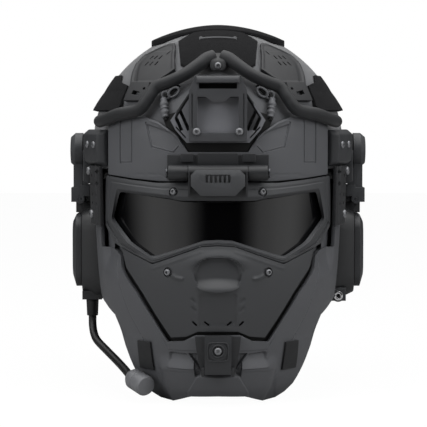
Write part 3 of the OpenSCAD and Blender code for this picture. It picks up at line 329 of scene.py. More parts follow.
def wall(name, outer, inner, wrap=False, cap=False):
    """A closed wall between two grids of points, rows running down and columns to the left.

    wrap joins the last column to the first, and cap closes the top row with one face."""
    rows, cols = len(outer), len(outer[0])
    count = rows * cols
    last_col = cols if wrap else cols - 1
    last_row = rows - 1
    faces = []

    def front(i, j):
        return i * cols + j % cols

    def back(i, j):
        return count + front(i, j)

    for i in range(last_row):
        for j in range(last_col):
            faces.append((front(i, j), front(i + 1, j), front(i + 1, j + 1), front(i, j + 1)))
            faces.append((back(i, j), back(i, j + 1), back(i + 1, j + 1), back(i + 1, j)))
    for j in range(last_col):
        if not cap:
            faces.append((front(0, j), front(0, j + 1), back(0, j + 1), back(0, j)))
        faces.append((front(last_row, j), back(last_row, j), back(last_row, j + 1), front(last_row, j + 1)))
    if cap:
        faces.append(tuple(front(0, j) for j in range(cols)))
        faces.append(tuple(back(0, cols - 1 - j) for j in range(cols)))
    if not wrap:
        for i in range(last_row):
            faces.append((front(i, 0), back(i, 0), back(i + 1, 0), front(i + 1, 0)))
            faces.append((front(i, last_col), front(i + 1, last_col),
                          back(i + 1, last_col), back(i, last_col)))
    verts = [p for row in outer for p in row] + [p for row in inner for p in row]
    return clean(new_object(name, verts, faces))


def surface_wall(name, surface, us, ws, outer, inner, **kw):
    """A wall on a surface: us are columns, ws rows, and outer and inner are heights or functions."""
    def grid(height):
        return [[surface(u, w, height(u, w) if callable(height) else height) for u in us] for w in ws]

    return wall(name, grid(outer), grid(inner), **kw)


def loft(name, loops, closed=False):
    """A solid through loops of points, capped at both ends or closed on itself."""
    rows, cols = len(loops), len(loops[0])
    faces = []
    for i in range(rows if closed else rows - 1):
        for j in range(cols):
            a, b = (i % rows) * cols, ((i + 1) % rows) * cols
            faces.append((a + j, b + j, b + (j + 1) % cols, a + (j + 1) % cols))
    if not closed:
        faces.append(tuple(range(cols)))
        faces.append(tuple((rows - 1) * cols + j for j in range(cols - 1, -1, -1)))
    return clean(new_object(name, [p for loop in loops for p in loop], faces))


def tube(name, path, radius, sides, ref):
    """A tube along a path. radius is a number or a function of the share of the way along."""
    path = [Vector(p) for p in path]
    loops = []
    last = len(path) - 1
    for i, p in enumerate(path):
        ahead = (path[min(i + 1, last)] - path[max(i - 1, 0)]).normalized()
        side = ahead.cross(Vector(ref)).normalized()
        up = side.cross(ahead)
        r = radius(i / last) if callable(radius) else radius
        loops.append([tuple(p + r * (side * math.cos(a) + up * math.sin(a))) for a in circle(sides)])
    return loft(name, loops)


def ring_tube(name, path, radius, sides, ref, stretch=1.0):
    """A tube along a closed path, its section stretched sideways."""
    loops = []
    for i, p in enumerate(path):
        ahead = (path[(i + 1) % len(path)] - path[i - 1]).normalized()
        side = ahead.cross(Vector(ref)).normalized()
        up = side.cross(ahead)
        loops.append([tuple(p + radius * (side * stretch * math.cos(a) + up * math.sin(a)))
                      for a in circle(sides)])
    return loft(name, loops, closed=True)


def spline(points, n):
    """A smooth curve through points."""
    pts = [Vector(p) for p in points]
    out = []
    for i in range(len(pts) - 1):
        p0, p1, p2, p3 = pts[max(i - 1, 0)], pts[i], pts[i + 1], pts[min(i + 2, len(pts) - 1)]
        for k in range(n):
            t = k / n
            out.append(0.5 * (2 * p1 + (p2 - p0) * t + (2 * p0 - 5 * p1 + 4 * p2 - p3) * t * t
                              + (3 * p1 - p0 - 3 * p2 + p3) * t**3))
    return out + [pts[-1]]


def final_mesh(obj):
    """The plain mesh that an object's modifiers make."""
    bpy.context.view_layer.update()
    graph = bpy.context.evaluated_depsgraph_get()
    return bpy.data.meshes.new_from_object(obj.evaluated_get(graph))


def apply_modifiers(obj):
    mesh = final_mesh(obj)
    old = obj.data
    obj.modifiers.clear()
    obj.data = mesh
    mesh.name = obj.name
    if old.users == 0:
        bpy.data.meshes.remove(old)
    return obj


def shade(obj, angle):
    """Smooth shading, broken at the edges that are sharper than the angle."""
    obj.data.shade_smooth()
    obj.data.set_sharp_from_angle(angle=math.radians(angle))
    return obj


def round_edges(obj, width, angle=40, segments=2):
    """Rounds the sharp edges, as a mould or a cutter leaves them, and shades the rest smooth."""
    if width:
        mod = obj.modifiers.new("Rounded edges", "BEVEL")
        mod.limit_method = "ANGLE"
        mod.angle_limit = math.radians(angle)
        mod.width = width * MM
        mod.segments = segments
        mod.use_clamp_overlap = True
        apply_modifiers(obj)
    return shade(obj, angle)


def cut(obj, cutters, solver="EXACT"):
    """Cuts holes with the listed solids."""
    for cutter in cutters:
        mod = obj.modifiers.new("Hole", "BOOLEAN")
        mod.operation = "DIFFERENCE"
        mod.solver = solver
        mod.object = cutter
    apply_modifiers(obj)
    for cutter in cutters:
        discard(cutter)
    return obj


def score(obj, surface, lines, height, width):
    """Cuts crisp seams into both sides of a curved piece, one straight part after the other."""
    for line in lines:
        for (u0, w0), (u1, w1) in zip(line, line[1:]):
            n = max(2, int(math.hypot(u1 - u0, w1 - w0) / 4))
            path = [surface(mix(u0, u1, k / n), mix(w0, w1, k / n), height) for k in range(n + 1)]
            seam = tube("seam", path, width / 2, 8, (0.3, 1, 0.2))
            for cutter in (seam, mirrored(seam, "seam")):
                kept = obj.data.copy()
                cut(obj, [cutter], "MANIFOLD")
                # A seam that spoils the piece is left out
                if len(obj.data.polygons) < 0.8 * len(kept.polygons):
                    print("seam left out", obj.name, len(kept.polygons), len(obj.data.polygons))
                    obj.data = kept
    return obj


def block(name, size, matrix=None, at=(0, 0, 0)):
    """A box cutter, in mm."""
    x, y, z = (s / 2 for s in size)
    verts = [Vector((sx * x, sy * y, sz * z)) for sx in (-1, 1) for sy in (-1, 1) for sz in (-1, 1)]
    if matrix:
        verts = [matrix @ v for v in verts]
    verts = [tuple(v + Vector(at)) for v in verts]
    faces = [(0, 1, 3, 2), (4, 6, 7, 5), (0, 4, 5, 1), (2, 3, 7, 6), (0, 2, 6, 4), (1, 5, 7, 3)]
    return clean(new_object(name, verts, faces))


def rod(name, radius, length, axis, at, sides=32):
    """A round cutter or pin, in mm, centred on at."""
    turn = Vector((0, 0, 1)).rotation_difference(Vector(axis).normalized()).to_matrix()
    return loft(name, [[tuple(turn @ Vector((radius * math.cos(a), radius * math.sin(a), z)) + Vector(at))
                        for a in circle(sides)] for z in (-length / 2, length / 2)])


def node_copy(node, name):
    """A merged copy of a CAD node's mesh, ready for its edges to be rounded."""
    obj = linked(name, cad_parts[node].data.copy())
    bm = bmesh.new()
    bm.from_mesh(obj.data)
    bmesh.ops.remove_doubles(bm, verts=bm.verts, dist=CAD_MERGE)
    bmesh.ops.dissolve_limit(bm, angle_limit=math.radians(0.6), verts=bm.verts, edges=bm.edges)
    bm.to_mesh(obj.data)
    bm.free()
    obj.data.materials.clear()
    return obj


def mirrored(obj, name):
    """A copy of the piece on the other side."""
    twin = linked(name, obj.data.copy())
    twin.data.transform(Matrix.Scale(-1, 4, (1, 0, 0)))
    twin.data.flip_normals()
    return twin


def join(name, objs):
    """One object from several, which it takes away."""
    verts, faces = [], []
    for obj in objs:
        start = len(verts)
        verts += [tuple(v.co) for v in obj.data.vertices]
        faces += [tuple(start + i for i in p.vertices) for p in obj.data.polygons]
        discard(obj)
    return new_object(name, verts, faces, 1)


def settle(obj, body, finish_key, slot, *nodes):
    """Gives a finished piece its material, its body and the CAD nodes that it stands for."""
    obj.name = obj.name.replace(" ", "_")
    obj.data.materials.clear()
    obj.data.materials.append(FINISHES[finish_key])
    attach(obj, body)
    if nodes:
        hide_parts(*nodes)
    return obj


def from_cad(node, name, body, finish_key, slot, edge, **rounding):
    """A finished piece with the CAD node's own shape, its edges rounded."""
    return settle(round_edges(node_copy(node, name), edge, **rounding), body, finish_key, slot, node)


# Repeated things


def tree_input(tree, name, kind):
    return tree.interface.new_socket(name=name, in_out="INPUT", socket_type=kind)


def add(tree, kind, links=None, **settings):
    """Adds a node, with its settings, and its inputs as values or as sockets to link."""
    node = tree.nodes.new(kind)
    for key, value in settings.items():
        setattr(node, key, value)
    for key, value in (links or {}).items():
        socket = node.inputs[key]
        if isinstance(value, bpy.types.NodeSocket):
            tree.links.new(value, socket)
        else:
            socket.default_value = value
    return node


def instance_tree(name, make_points):
    """A tree that sets a source object on points, realises it and gives it a material."""
    tree = bpy.data.node_groups.new(name, "GeometryNodeTree")
    tree.interface.new_socket(name="Geometry", in_out="OUTPUT", socket_type="NodeSocketGeometry")
    tree_input(tree, "Geometry", "NodeSocketGeometry")
    tree_input(tree, "Source", "NodeSocketObject")
    tree_input(tree, "Material", "NodeSocketMaterial")
    start = add(tree, "NodeGroupInput")
    points, turn, scale = make_points(tree, start)
    source = add(tree, "GeometryNodeObjectInfo", {"Object": start.outputs["Source"]},
                 transform_space="ORIGINAL")
    links = {"Points": points, "Instance": source.outputs["Geometry"], "Rotation": turn}
    if scale is not None:
        links["Scale"] = scale
    spread = add(tree, "GeometryNodeInstanceOnPoints", links)
    real = add(tree, "GeometryNodeRealizeInstances", {"Geometry": spread.outputs[0]})
    paint = add(tree, "GeometryNodeSetMaterial", {
        "Geometry": real.outputs[0], "Material": start.outputs["Material"]})
    add(tree, "NodeGroupOutput", {"Geometry": paint.outputs[0]})
    return tree


def fastener_points(tree, start):
    """A point for each fastener, turned and sized by the attributes aim and size."""
    aim = add(tree, "GeometryNodeInputNamedAttribute", {"Name": "aim"}, data_type="FLOAT_VECTOR")
    size = add(tree, "GeometryNodeInputNamedAttribute", {"Name": "size"}, data_type="FLOAT_VECTOR")
    dots = add(tree, "GeometryNodeMeshToPoints", {"Mesh": start.outputs["Geometry"]})
    turn = add(tree, "FunctionNodeAlignRotationToVector", {"Vector": aim.outputs["Attribute"]}, axis="Z")
    return dots.outputs[0], turn.outputs[0], size.outputs["Attribute"]


def rib_points(tree, start):
    """A row of evenly spaced points."""
    count = tree_input(tree, "Count", "NodeSocketInt")
    first = tree_input(tree, "First", "NodeSocketVector")
    pitch = tree_input(tree, "Pitch", "NodeSocketVector")
    line = add(tree, "GeometryNodeMeshLine", {
        "Count": start.outputs[count.name], "Start Location": start.outputs[first.name],
        "Offset": start.outputs[pitch.name]}, mode="OFFSET")
    dots = add(tree, "GeometryNodeMeshToPoints", {"Mesh": line.outputs[0]})
    return dots.outputs[0], (0, 0, 0), None


def run_tree(name, base, tree, values):
    """Puts the tree on base, and returns what it makes as a plain mesh object."""
    mod = base.modifiers.new(tree.name, "NODES")
    mod.node_group = tree
    for item in tree.interface.items_tree:
        if item.in_out == "INPUT" and item.name in values:
            mod[item.identifier] = values[item.name]
    mesh = final_mesh(base)
    discard(base)
    return linked(name, mesh)


def screw_head():
    """Button head with a hexagon socket, one unit in radius and height."""
    sides = 30
    profile = [(1.0, 0.0), (1.0, 0.2), (0.97, 0.42), (0.9, 0.64), (0.78, 0.84), (0.62, 0.96), (0.52, 1.0)]
    verts, faces = [], []
    for r, z in profile:
        verts += [(r * math.cos(a), r * math.sin(a), z) for a in circle(sides)]
    for r, z in ((0.46, 0.96), (0.44, 0.35)):
        for k in range(sides):
            a = 360 * k / sides
            hexa = r * math.cos(math.radians(30)) / math.cos(math.radians(a % 60 - 30))
            verts.append((hexa * math.cos(math.radians(a)), hexa * math.sin(math.radians(a)), z))
    rings = len(verts) // sides
    for i in range(rings - 1):
        for k in range(sides):
            a, b = i * sides, (i + 1) * sides
            faces.append((a + k, a + (k + 1) % sides, b + (k + 1) % sides, b + k))
    faces.append(tuple(range(sides - 1, -1, -1)))
    faces.append(tuple((rings - 1) * sides + k for k in range(sides)))
    return shade(clean(new_object("Screw head", verts, faces, 1)), 50)


def fasteners(name, places, body):
    """Screws at places, each given as position, aim, radius and height, in mm."""
    base = new_object(name, [place[0] for place in places], [])
    layers = {"aim": [aim for _, aim, _, _ in places],
              "size": [(radius * MM, radius * MM, height * MM) for _, _, radius, height in places]}
    for key, values in layers.items():
        layer = base.data.attributes.new(key, "FLOAT_VECTOR", "POINT")
        for item, value in zip(layer.data, values):
            item.vector = value
    head = screw_head()
    tree = instance_tree("Fasteners", fastener_points)
    obj = run_tree(name, base, tree, {"Source": head, "Material": FINISHES["screw"]})
    discard(head)
    return settle(obj, body, "screw", "screw", name.lower().replace(" ", "_"))


# Finishes


def srgb(code):
    """An sRGB hex colour as linear values."""
    parts = [int(code[i:i + 2], 16) / 255 for i in (1, 3, 5)]
    return tuple(p / 12.92 if p <= 0.04045 else ((p + 0.055) / 1.055) ** 2.4 for p in parts) + (1.0,)


def shifted(colour, k):
    """The colour made darker or lighter."""
    return tuple(min(1, c * k) for c in colour[:3]) + (1.0,)


def empty_material(name):
    """A new material and its empty node tree."""
    mat = bpy.data.materials.new(name)
    mat.use_nodes = True
    mat.node_tree.nodes.clear()
    return mat, mat.node_tree


# Size in mm of the slow change of tone across a moulded surface
BLOTCH = 35.0


def finish(name, colour, roughness, grain=0.6, bump=0.15, spread=0.12, metallic=0.0, ior=None, coat=0.0,
           sheen=0.0, rough_spread=0.06):
    """A moulded or coated surface: a fine grain in mm, and a slow change of tone and gloss."""
    mat, tree = empty_material(name)
    place = add(tree, "ShaderNodeTexCoord").outputs["Object"]
    slow = add(tree, "ShaderNodeTexNoise", {
        "Vector": place, "Scale": TO_MM / BLOTCH, "Detail": 3.0, "Roughness": 0.6})
    fine = add(tree, "ShaderNodeTexNoise", {
        "Vector": place, "Scale": TO_MM / grain, "Detail": 2.0, "Roughness": 0.5})
    tone = add(tree, "ShaderNodeMix", {
        "Factor": slow.outputs["Fac"], "A": shifted(colour, 1 - spread), "B": shifted(colour, 1 + spread)},
        data_type="RGBA")
    gloss = add(tree, "ShaderNodeMapRange", {
        "Value": slow.outputs["Fac"], "From Min": 0.3, "From Max": 0.7,
        "To Min": roughness - rough_spread, "To Max": roughness + rough_spread})
    ripple = add(tree, "ShaderNodeBump", {
        "Height": fine.outputs["Fac"], "Strength": bump, "Distance": 0.0002})
    values = {"Base Color": tone.outputs["Result"], "Roughness": gloss.outputs[0],
              "Normal": ripple.outputs[0], "Metallic": metallic, "Coat Weight": coat, "Sheen Weight": sheen,
              "Sheen Roughness": 0.5}
    if ior:
        values["IOR"] = ior
    shader = add(tree, "ShaderNodeBsdfPrincipled", values)
    add(tree, "ShaderNodeOutputMaterial", {"Surface": shader.outputs[0]})
    return mat


def pile_fabric(name, colour):
    """Loop pile of hook-and-loop tape: tiny round loops, matte and slightly hairy."""
    mat, tree = empty_material(name)
    place = add(tree, "ShaderNodeTexCoord").outputs["Object"]
    # Real loops are about 0.4 mm, drawn at 1.1 mm so that they show in the render
    loops = add(tree, "ShaderNodeTexVoronoi", {"Vector": place, "Scale": TO_MM / 1.1, "Randomness": 0.8})
    tufts = add(tree, "ShaderNodeTexNoise", {"Vector": place, "Scale": TO_MM / 5, "Detail": 4.0})
    tone = add(tree, "ShaderNodeMix", {
        "Factor": tufts.outputs["Fac"], "A": shifted(colour, 0.75), "B": shifted(colour, 1.35)},
        data_type="RGBA")
    height = add(tree, "ShaderNodeMath", {
        0: loops.outputs["Distance"], 1: tufts.outputs["Fac"]}, operation="ADD")
    bumps = add(tree, "ShaderNodeBump", {"Height": height.outputs[0], "Strength": 0.5, "Distance": 0.0006})
    shader = add(tree, "ShaderNodeBsdfPrincipled", {
        "Base Color": tone.outputs["Result"], "Roughness": 0.95, "Normal": bumps.outputs[0],
        "Specular IOR Level": 0.15})
    add(tree, "ShaderNodeOutputMaterial", {"Surface": shader.outputs[0]})
    return mat


def woven_cloth(name, colour):
    """Fine knitted cover cloth over foam."""
    mat, tree = empty_material(name)
    place = add(tree, "ShaderNodeTexCoord").outputs["Object"]
    # Real rows of knitting are under 1 mm apart, drawn at about 9 mm so that they show
    weave = {"Vector": place, "Scale": TO_MM / 1.4 / 20, "Distortion": 1.0}
    across = add(tree, "ShaderNodeTexWave", weave, bands_direction="X")
    along = add(tree, "ShaderNodeTexWave", weave, bands_direction="Z")
    knit = add(tree, "ShaderNodeMath", {
        0: across.outputs["Fac"], 1: along.outputs["Fac"]}, operation="MULTIPLY")
    tufts = add(tree, "ShaderNodeTexNoise", {"Vector": place, "Scale": TO_MM / 12, "Detail": 3.0})
    tone = add(tree, "ShaderNodeMix", {
        "Factor": tufts.outputs["Fac"], "A": shifted(colour, 0.8), "B": shifted(colour, 1.3)},
        data_type="RGBA")
    bumps = add(tree, "ShaderNodeBump", {"Height": knit.outputs[0], "Strength": 0.35, "Distance": 0.0004})
    shader = add(tree, "ShaderNodeBsdfPrincipled", {
        "Base Color": tone.outputs["Result"], "Roughness": 0.92, "Normal": bumps.outputs[0],
        "Sheen Weight": 0.3, "Sheen Roughness": 0.5, "Specular IOR Level": 0.2})
    add(tree, "ShaderNodeOutputMaterial", {"Surface": shader.outputs[0]})
    return mat


FINISHES = {}


def make_finishes(look):
    """Every material of the helmet, named for what it is."""
    shell = tuple(look.shell) + (1.0,)
    plate = tuple(look.plate) + (1.0,)
    visor = tuple(look.visor) + (1.0,)
    dark = tuple(look.dark) + (1.0,)
    FINISHES.update({
        # Compression-moulded nylon: a fine spark-eroded grain that scatters the highlight
        "shell": finish("Moulded nylon shell", shell, 0.58, grain=0.7, sheen=0.5),
        "plate": finish("Moulded ABS plate", plate, 0.52, grain=0.6, bump=0.12),
        "panel": finish("Moulded ABS vent panel", shifted(plate, 0.24), 0.55, grain=0.6),
        "visor": finish("Glass-filled nylon visor frame", visor, 0.48, grain=0.6, bump=0.12),
        "face": finish("Glass-filled nylon face plate", shifted(visor, 0.98), 0.5, grain=0.6, bump=0.12),
        "nose": finish("Smooth nylon nose cover", shifted(visor, 0.84), 0.4, grain=0.5, bump=0.05),
        "rail": finish("Glass-filled nylon rail", shifted(dark, 1.1), 0.5, grain=0.6),
        "arm": finish("Glass-filled nylon arm", shifted(dark, 1.15), 0.46, grain=0.6),
        "cup": finish("Satin ABS ear cup", shifted(visor, 0.42), 0.42, grain=0.5, bump=0.08),
        "cover": finish("Satin ABS ear cover", shifted(visor, 0.72), 0.42, grain=0.5, bump=0.08),
        "latch": finish("Glass-filled nylon latch", shifted(dark, 0.85), 0.46, grain=0.5),
        # Moulded rubber: soft sheen, almost no grain
        "bumper": finish("Moulded rubber bumper", srgb("#18191b"), 0.52, grain=1.2, bump=0.08, sheen=0.06),
        "trim": finish("Rubber rim trim", srgb("#1a1a1a"), 0.62, grain=0.8, bump=0.08),
        "boom": finish("Rubber boom sleeve", srgb("#111112"), 0.45, grain=0.8, bump=0.08),
        # The shroud: a satin moulding, its painted metal plate and the hinge
        "shroud": finish("Satin nylon shroud base", shifted(plate, 0.32), 0.5),
        # The window's floor is painted lighter than the base around it, a painted highlight for the overhead
        # light that falls into the window
        "floor": finish("Bare nylon shroud floor", srgb("#5f6064"), 0.5),
        "coated": finish("Black-coated aluminium plate", shifted(plate, 0.55), 0.42, grain=0.4, bump=0.06,
                         coat=0.05),
        "hinge": finish("Glass-filled nylon hinge", shifted(dark, 0.6), 0.46, grain=0.5),
        # Small nylon and ABS mouldings, satin or matte
        "insert": finish("Matte nylon insert", shifted(dark, 0.45), 0.6),
        "capsule": finish("Moulded ABS capsule", srgb("#6c6d70"), 0.42, grain=0.5, bump=0.08),
        "toggle": finish("Moulded nylon toggle", srgb("#5a5b5e"), 0.42, grain=0.5),
        "band": finish("Matte nylon band", srgb("#3c3d3f"), 0.6, grain=0.6),
        # Zinc-plated screws and blackened pins, lightly worn, and one bright collar
        "screw": finish("Zinc-plated steel screw", srgb("#8c8d90"), 0.38, grain=0.3, bump=0.05, metallic=0.7),
        "pin": finish("Blackened steel pin", srgb("#5c5d60"), 0.36, grain=0.3, bump=0.05, metallic=1.0),
        "nickel": finish("Nickel-plated collar", srgb("#e8e8ea"), 0.16, grain=0.3, bump=0.02, metallic=1.0),
        # Tinted polycarbonate, polished: black under a clear gloss
        "lens": finish("Tinted polycarbonate lens", srgb("#050506"), 0.06, grain=4, bump=0.0, spread=0.02,
                       rough_spread=0.01, ior=1.58),
        # Cushions, cords, foam and cloth: matte, with a coarse grain
        # Also painted shade: the black strip in the channel over the brow plate, and the faces deep in the
        # shroud's slot
        "gasket": finish("Closed-cell foam gasket", srgb("#121212"), 0.85, grain=0.8),
        "leather": finish("Soft synthetic leather", srgb("#1d1d1e"), 0.48, grain=1.3, bump=0.35,
                          rough_spread=0.08),
        "cord": finish("Braided elastic cord", srgb("#121213"), 0.8, grain=0.5, bump=0.4),
        "filter": finish("Open-cell filter foam", srgb("#1a1a1b"), 0.9, grain=1.6, bump=0.9),
        "loop": pile_fabric("Hook-and-loop pile", srgb("#1c1c1d")),
        "cloth": woven_cloth("Knitted pad cover", srgb("#222224")),
    })


# Settings


def colour_property(name, code, text):
    return FloatVectorProperty(name=name, description=text, default=srgb(code)[:3], subtype="COLOR",
                               min=0, max=1)


def length_property(name, value, text):
    return FloatProperty(name=name, description=text, default=value * MM, unit="LENGTH", subtype="DISTANCE",
                         precision=5)


class HelmetLook(bpy.types.PropertyGroup):
    shell: colour_property("Shell", "#4b4c4f", "Colour of the moulded shell")
    plate: colour_property("Plates", "#4e4f52", "Colour of the brow plate and the jaw guard")
    visor: colour_property("Visor", "#3a3b3d", "Colour of the visor frame and the face plate")
    dark: colour_property("Rails", "#2f3032", "Colour of the rails and the ear cup arms")


class HelmetSizes(bpy.types.PropertyGroup):
    edge: length_property("Edge radius", 0.6, "Rounding of the moulded edges")
    fine_edge: length_property("Fine edge radius", 0.3, "Rounding of small parts' edges")
    groove_w: length_property("Groove width", 1.4, "Width of the moulded panel lines")
    groove_d: length_property("Groove depth", 0.7, "Depth of the moulded panel lines")
    ribs: IntProperty(name="Finger ribs", description="Ribs on the release button", default=6, min=2, max=10)
    rib_pitch: length_property("Rib pitch", 3.6, "Distance between the finger ribs")
    seam: length_property("Seam depth", 0.8, "Depth of the cushions' seams")


class HelmetStage(bpy.types.PropertyGroup):
    distance: length_property("Camera distance", 1700, "From the camera to the middle of the helmet")
    height: FloatProperty(name="Camera elevation", description="Angle above the horizon",
                          default=math.radians(3.0), unit="ROTATION", subtype="ANGLE")
    lens: FloatProperty(name="Lens", description="Focal length on a 36 mm sensor, in mm", default=163.8)
    shift: FloatProperty(name="Shift", description="Sideways shift of the picture", default=-0.0105,
                         precision=4)
    key: FloatProperty(name="Side lamps", description="Power of each side lamp, in watts", default=15.8)
    top: FloatProperty(name="Top lamp", description="Power of the top lamp, in watts", default=13.0)
    fill: FloatProperty(name="World", description="Strength of the world's light", default=0.16)


def sizes():
    return bpy.context.scene.helmet_sizes


# The pieces


class MakeStage(bpy.types.Operator):
    """Camera, lamps, white backdrop and pale floor"""
    bl_idname = "helmet.stage"
    bl_label = "Stage"

    def execute(self, context):
        scene = context.scene
        stage = scene.helmet_stage
        scene.view_settings.view_transform = "Standard"
        camera = bpy.data.cameras.new("Camera")
        camera.lens = stage.lens
        camera.sensor_width = 36
        camera.shift_x = stage.shift
        camera.clip_end = 50
        eye = linked("Camera", camera)
        # Near the middle of the helmet's height
        target = Vector((0, 0, -0.141))
        eye.location = target + stage.distance * Vector((0, -math.cos(stage.height), math.sin(stage.height)))
        eye.rotation_euler = (target - eye.location).to_track_quat("-Z", "Y").to_euler()
        scene.camera = eye

        def lamp(name, at, size, size_y, power):
            data = bpy.data.lights.new(name, "AREA")
            data.shape = "RECTANGLE"
            data.size, data.size_y = size, size_y
            data.energy = power
            obj = linked(name, data)
            obj.location = at
            obj.rotation_euler = (target - Vector(at)).to_track_quat("-Z", "Y").to_euler()
            # The polished lens mirrors the soft surroundings, not the lamps' edges
            obj.visible_glossy = False

        lamp("Left lamp", (1.3, -1.05, 0.5), 0.7, 1.0, stage.key)
        lamp("Right lamp", (-1.3, -1.05, 0.5), 0.7, 1.0, stage.key)
        lamp("Top lamp", (0, -0.55, 1.35), 1.1, 0.8, stage.top)

        world = bpy.data.worlds.new("Studio")
        scene.world = world
        world.use_nodes = True
        tree = world.node_tree
        tree.nodes.clear()
        path = add(tree, "ShaderNodeLightPath")
        white = add(tree, "ShaderNodeBackground", {"Color": (1, 1, 1, 1), "Strength": 1.0})
        # A dark card in front leaves the middle of the lens black, between two soft side walls. The
        # walls' ends are angles from the front, in radians
        place = add(tree, "ShaderNodeTexCoord").outputs["Generated"]
        way = add(tree, "ShaderNodeSeparateXYZ", {"Vector": place})
        ahead = add(tree, "ShaderNodeMath", {0: way.outputs["Y"], 1: -1.0}, operation="MULTIPLY")
        turn = add(tree, "ShaderNodeMath", {0: way.outputs["X"], 1: ahead.outputs[0]}, operation="ARCTAN2")
        turn = add(tree, "ShaderNodeMath", {0: turn.outputs[0], 1: 0.09}, operation="SUBTRACT")
        turn = add(tree, "ShaderNodeMath", {0: turn.outputs[0]}, operation="ABSOLUTE")
        wall_in = add(tree, "ShaderNodeMapRange", {
            "Value": turn.outputs[0], "From Min": 0.2, "From Max": 0.72, "To Min": 0.0, "To Max": 1.0},
            interpolation_type="SMOOTHSTEP")
        wall_mid = add(tree, "ShaderNodeMapRange", {
            "Value": turn.outputs[0], "From Min": 0.5, "From Max": 1.1, "To Min": 0.62, "To Max": 1.0})
        wall_out = add(tree, "ShaderNodeMapRange", {
            "Value": turn.outputs[0], "From Min": 1.3, "From Max": 2.15, "To Min": 1.0, "To Max": 0.02},
            interpolation_type="SMOOTHSTEP")
        walls = wall_in
        for part in (wall_mid, wall_out):
            walls = add(tree, "ShaderNodeMath", {0: walls.outputs[0], 1: part.outputs[0]},
                        operation="MULTIPLY")
        overhead = add(tree, "ShaderNodeMapRange", {
            "Value": way.outputs["Z"], "From Min": 0.42, "From Max": 0.9, "To Min": 0.0, "To Max": 2.6},
            interpolation_type="SMOOTHSTEP")
        card = add(tree, "ShaderNodeMath", {0: walls.outputs[0], 1: overhead.outputs[0]}, operation="MAXIMUM")
        studio = add(tree, "ShaderNodeBackground", {"Color": (0.8, 0.8, 0.8, 1), "Strength": card.outputs[0]})
        soft = add(tree, "ShaderNodeBackground", {"Color": (1, 1, 1, 1), "Strength": stage.fill})
        mirror = add(tree, "ShaderNodeMixShader", {
            "Fac": path.outputs["Is Glossy Ray"], 1: soft.outputs[0], 2: studio.outputs[0]})
        seen = add(tree, "ShaderNodeMath", {
            0: path.outputs["Is Camera Ray"], 1: path.outputs["Is Transmission Ray"]}, operation="MAXIMUM")
        both = add(tree, "ShaderNodeMixShader", {
            "Fac": seen.outputs[0], 1: mirror.outputs[0], 2: white.outputs[0]})
        add(tree, "ShaderNodeOutputWorld", {"Surface": both.outputs[0]})

        # The floor lies just under the lowest point
        far = 4000
        floor = new_object("Floor", [(-far, -far, 0), (far, -far, 0), (far, far, 0), (-far, far, 0)],
                           [(0, 1, 2, 3)])
        floor.data.transform(Matrix.Translation((0, 0, CAD_BOX[0][2] - 0.0005)))
        pale, tree = empty_material("Pale floor")
        path = add(tree, "ShaderNodeLightPath")
        matte = add(tree, "ShaderNodeBsdfDiffuse", {"Color": srgb("#a8a8a8")})
        glow = add(tree, "ShaderNodeEmission", {"Color": (1, 1, 1, 1), "Strength": 1.08})
        seen = add(tree, "ShaderNodeMath", {0: path.outputs["Is Camera Ray"], 1: 0.9}, operation="MULTIPLY")
        blend = add(tree, "ShaderNodeMixShader", {
            "Fac": seen.outputs[0], 1: matte.outputs[0], 2: glow.outputs[0]})
        add(tree, "ShaderNodeOutputMaterial", {"Surface": blend.outputs[0]})
        floor.data.materials.append(pale)
        return {"FINISHED"}


class MakeShell(bpy.types.Operator):
    """Moulded shell and the rubber trim round its rim"""
    bl_idname = "helmet.shell"
    bl_label = "Shell and rim trim"

    def execute(self, context):
        # The first row is a small ring at the crown, and a cap closes it
        rows = steps(-0.054, 1, 64) + steps(1, 2, 22)[1:]
        cols = [-180 + 2.5 * i for i in range(144)]
        shell = surface_wall("Helmet shell", dome, cols, rows, 0.0, -SHELL_T, wrap=True, cap=True)
        round_edges(shell, sizes().edge * TO_MM)
        settle(shell, "helmet", "shell", "shell", "helmet_shell")

        # The trim hangs below the middle of the rim's edge, and is a little wider than it is tall
        path = [Vector(dome(th, 2, -SHELL_T / 2)) - Vector((0, 0, 2.0)) for th in cols]
        trim = ring_tube("Rim trim", path, TRIM_R, 12, (0, 0, 1), 1.2)
        round_edges(trim, 0)
        settle(trim, "helmet", "trim", "trim", "edge_trim")
        return {"FINISHED"}


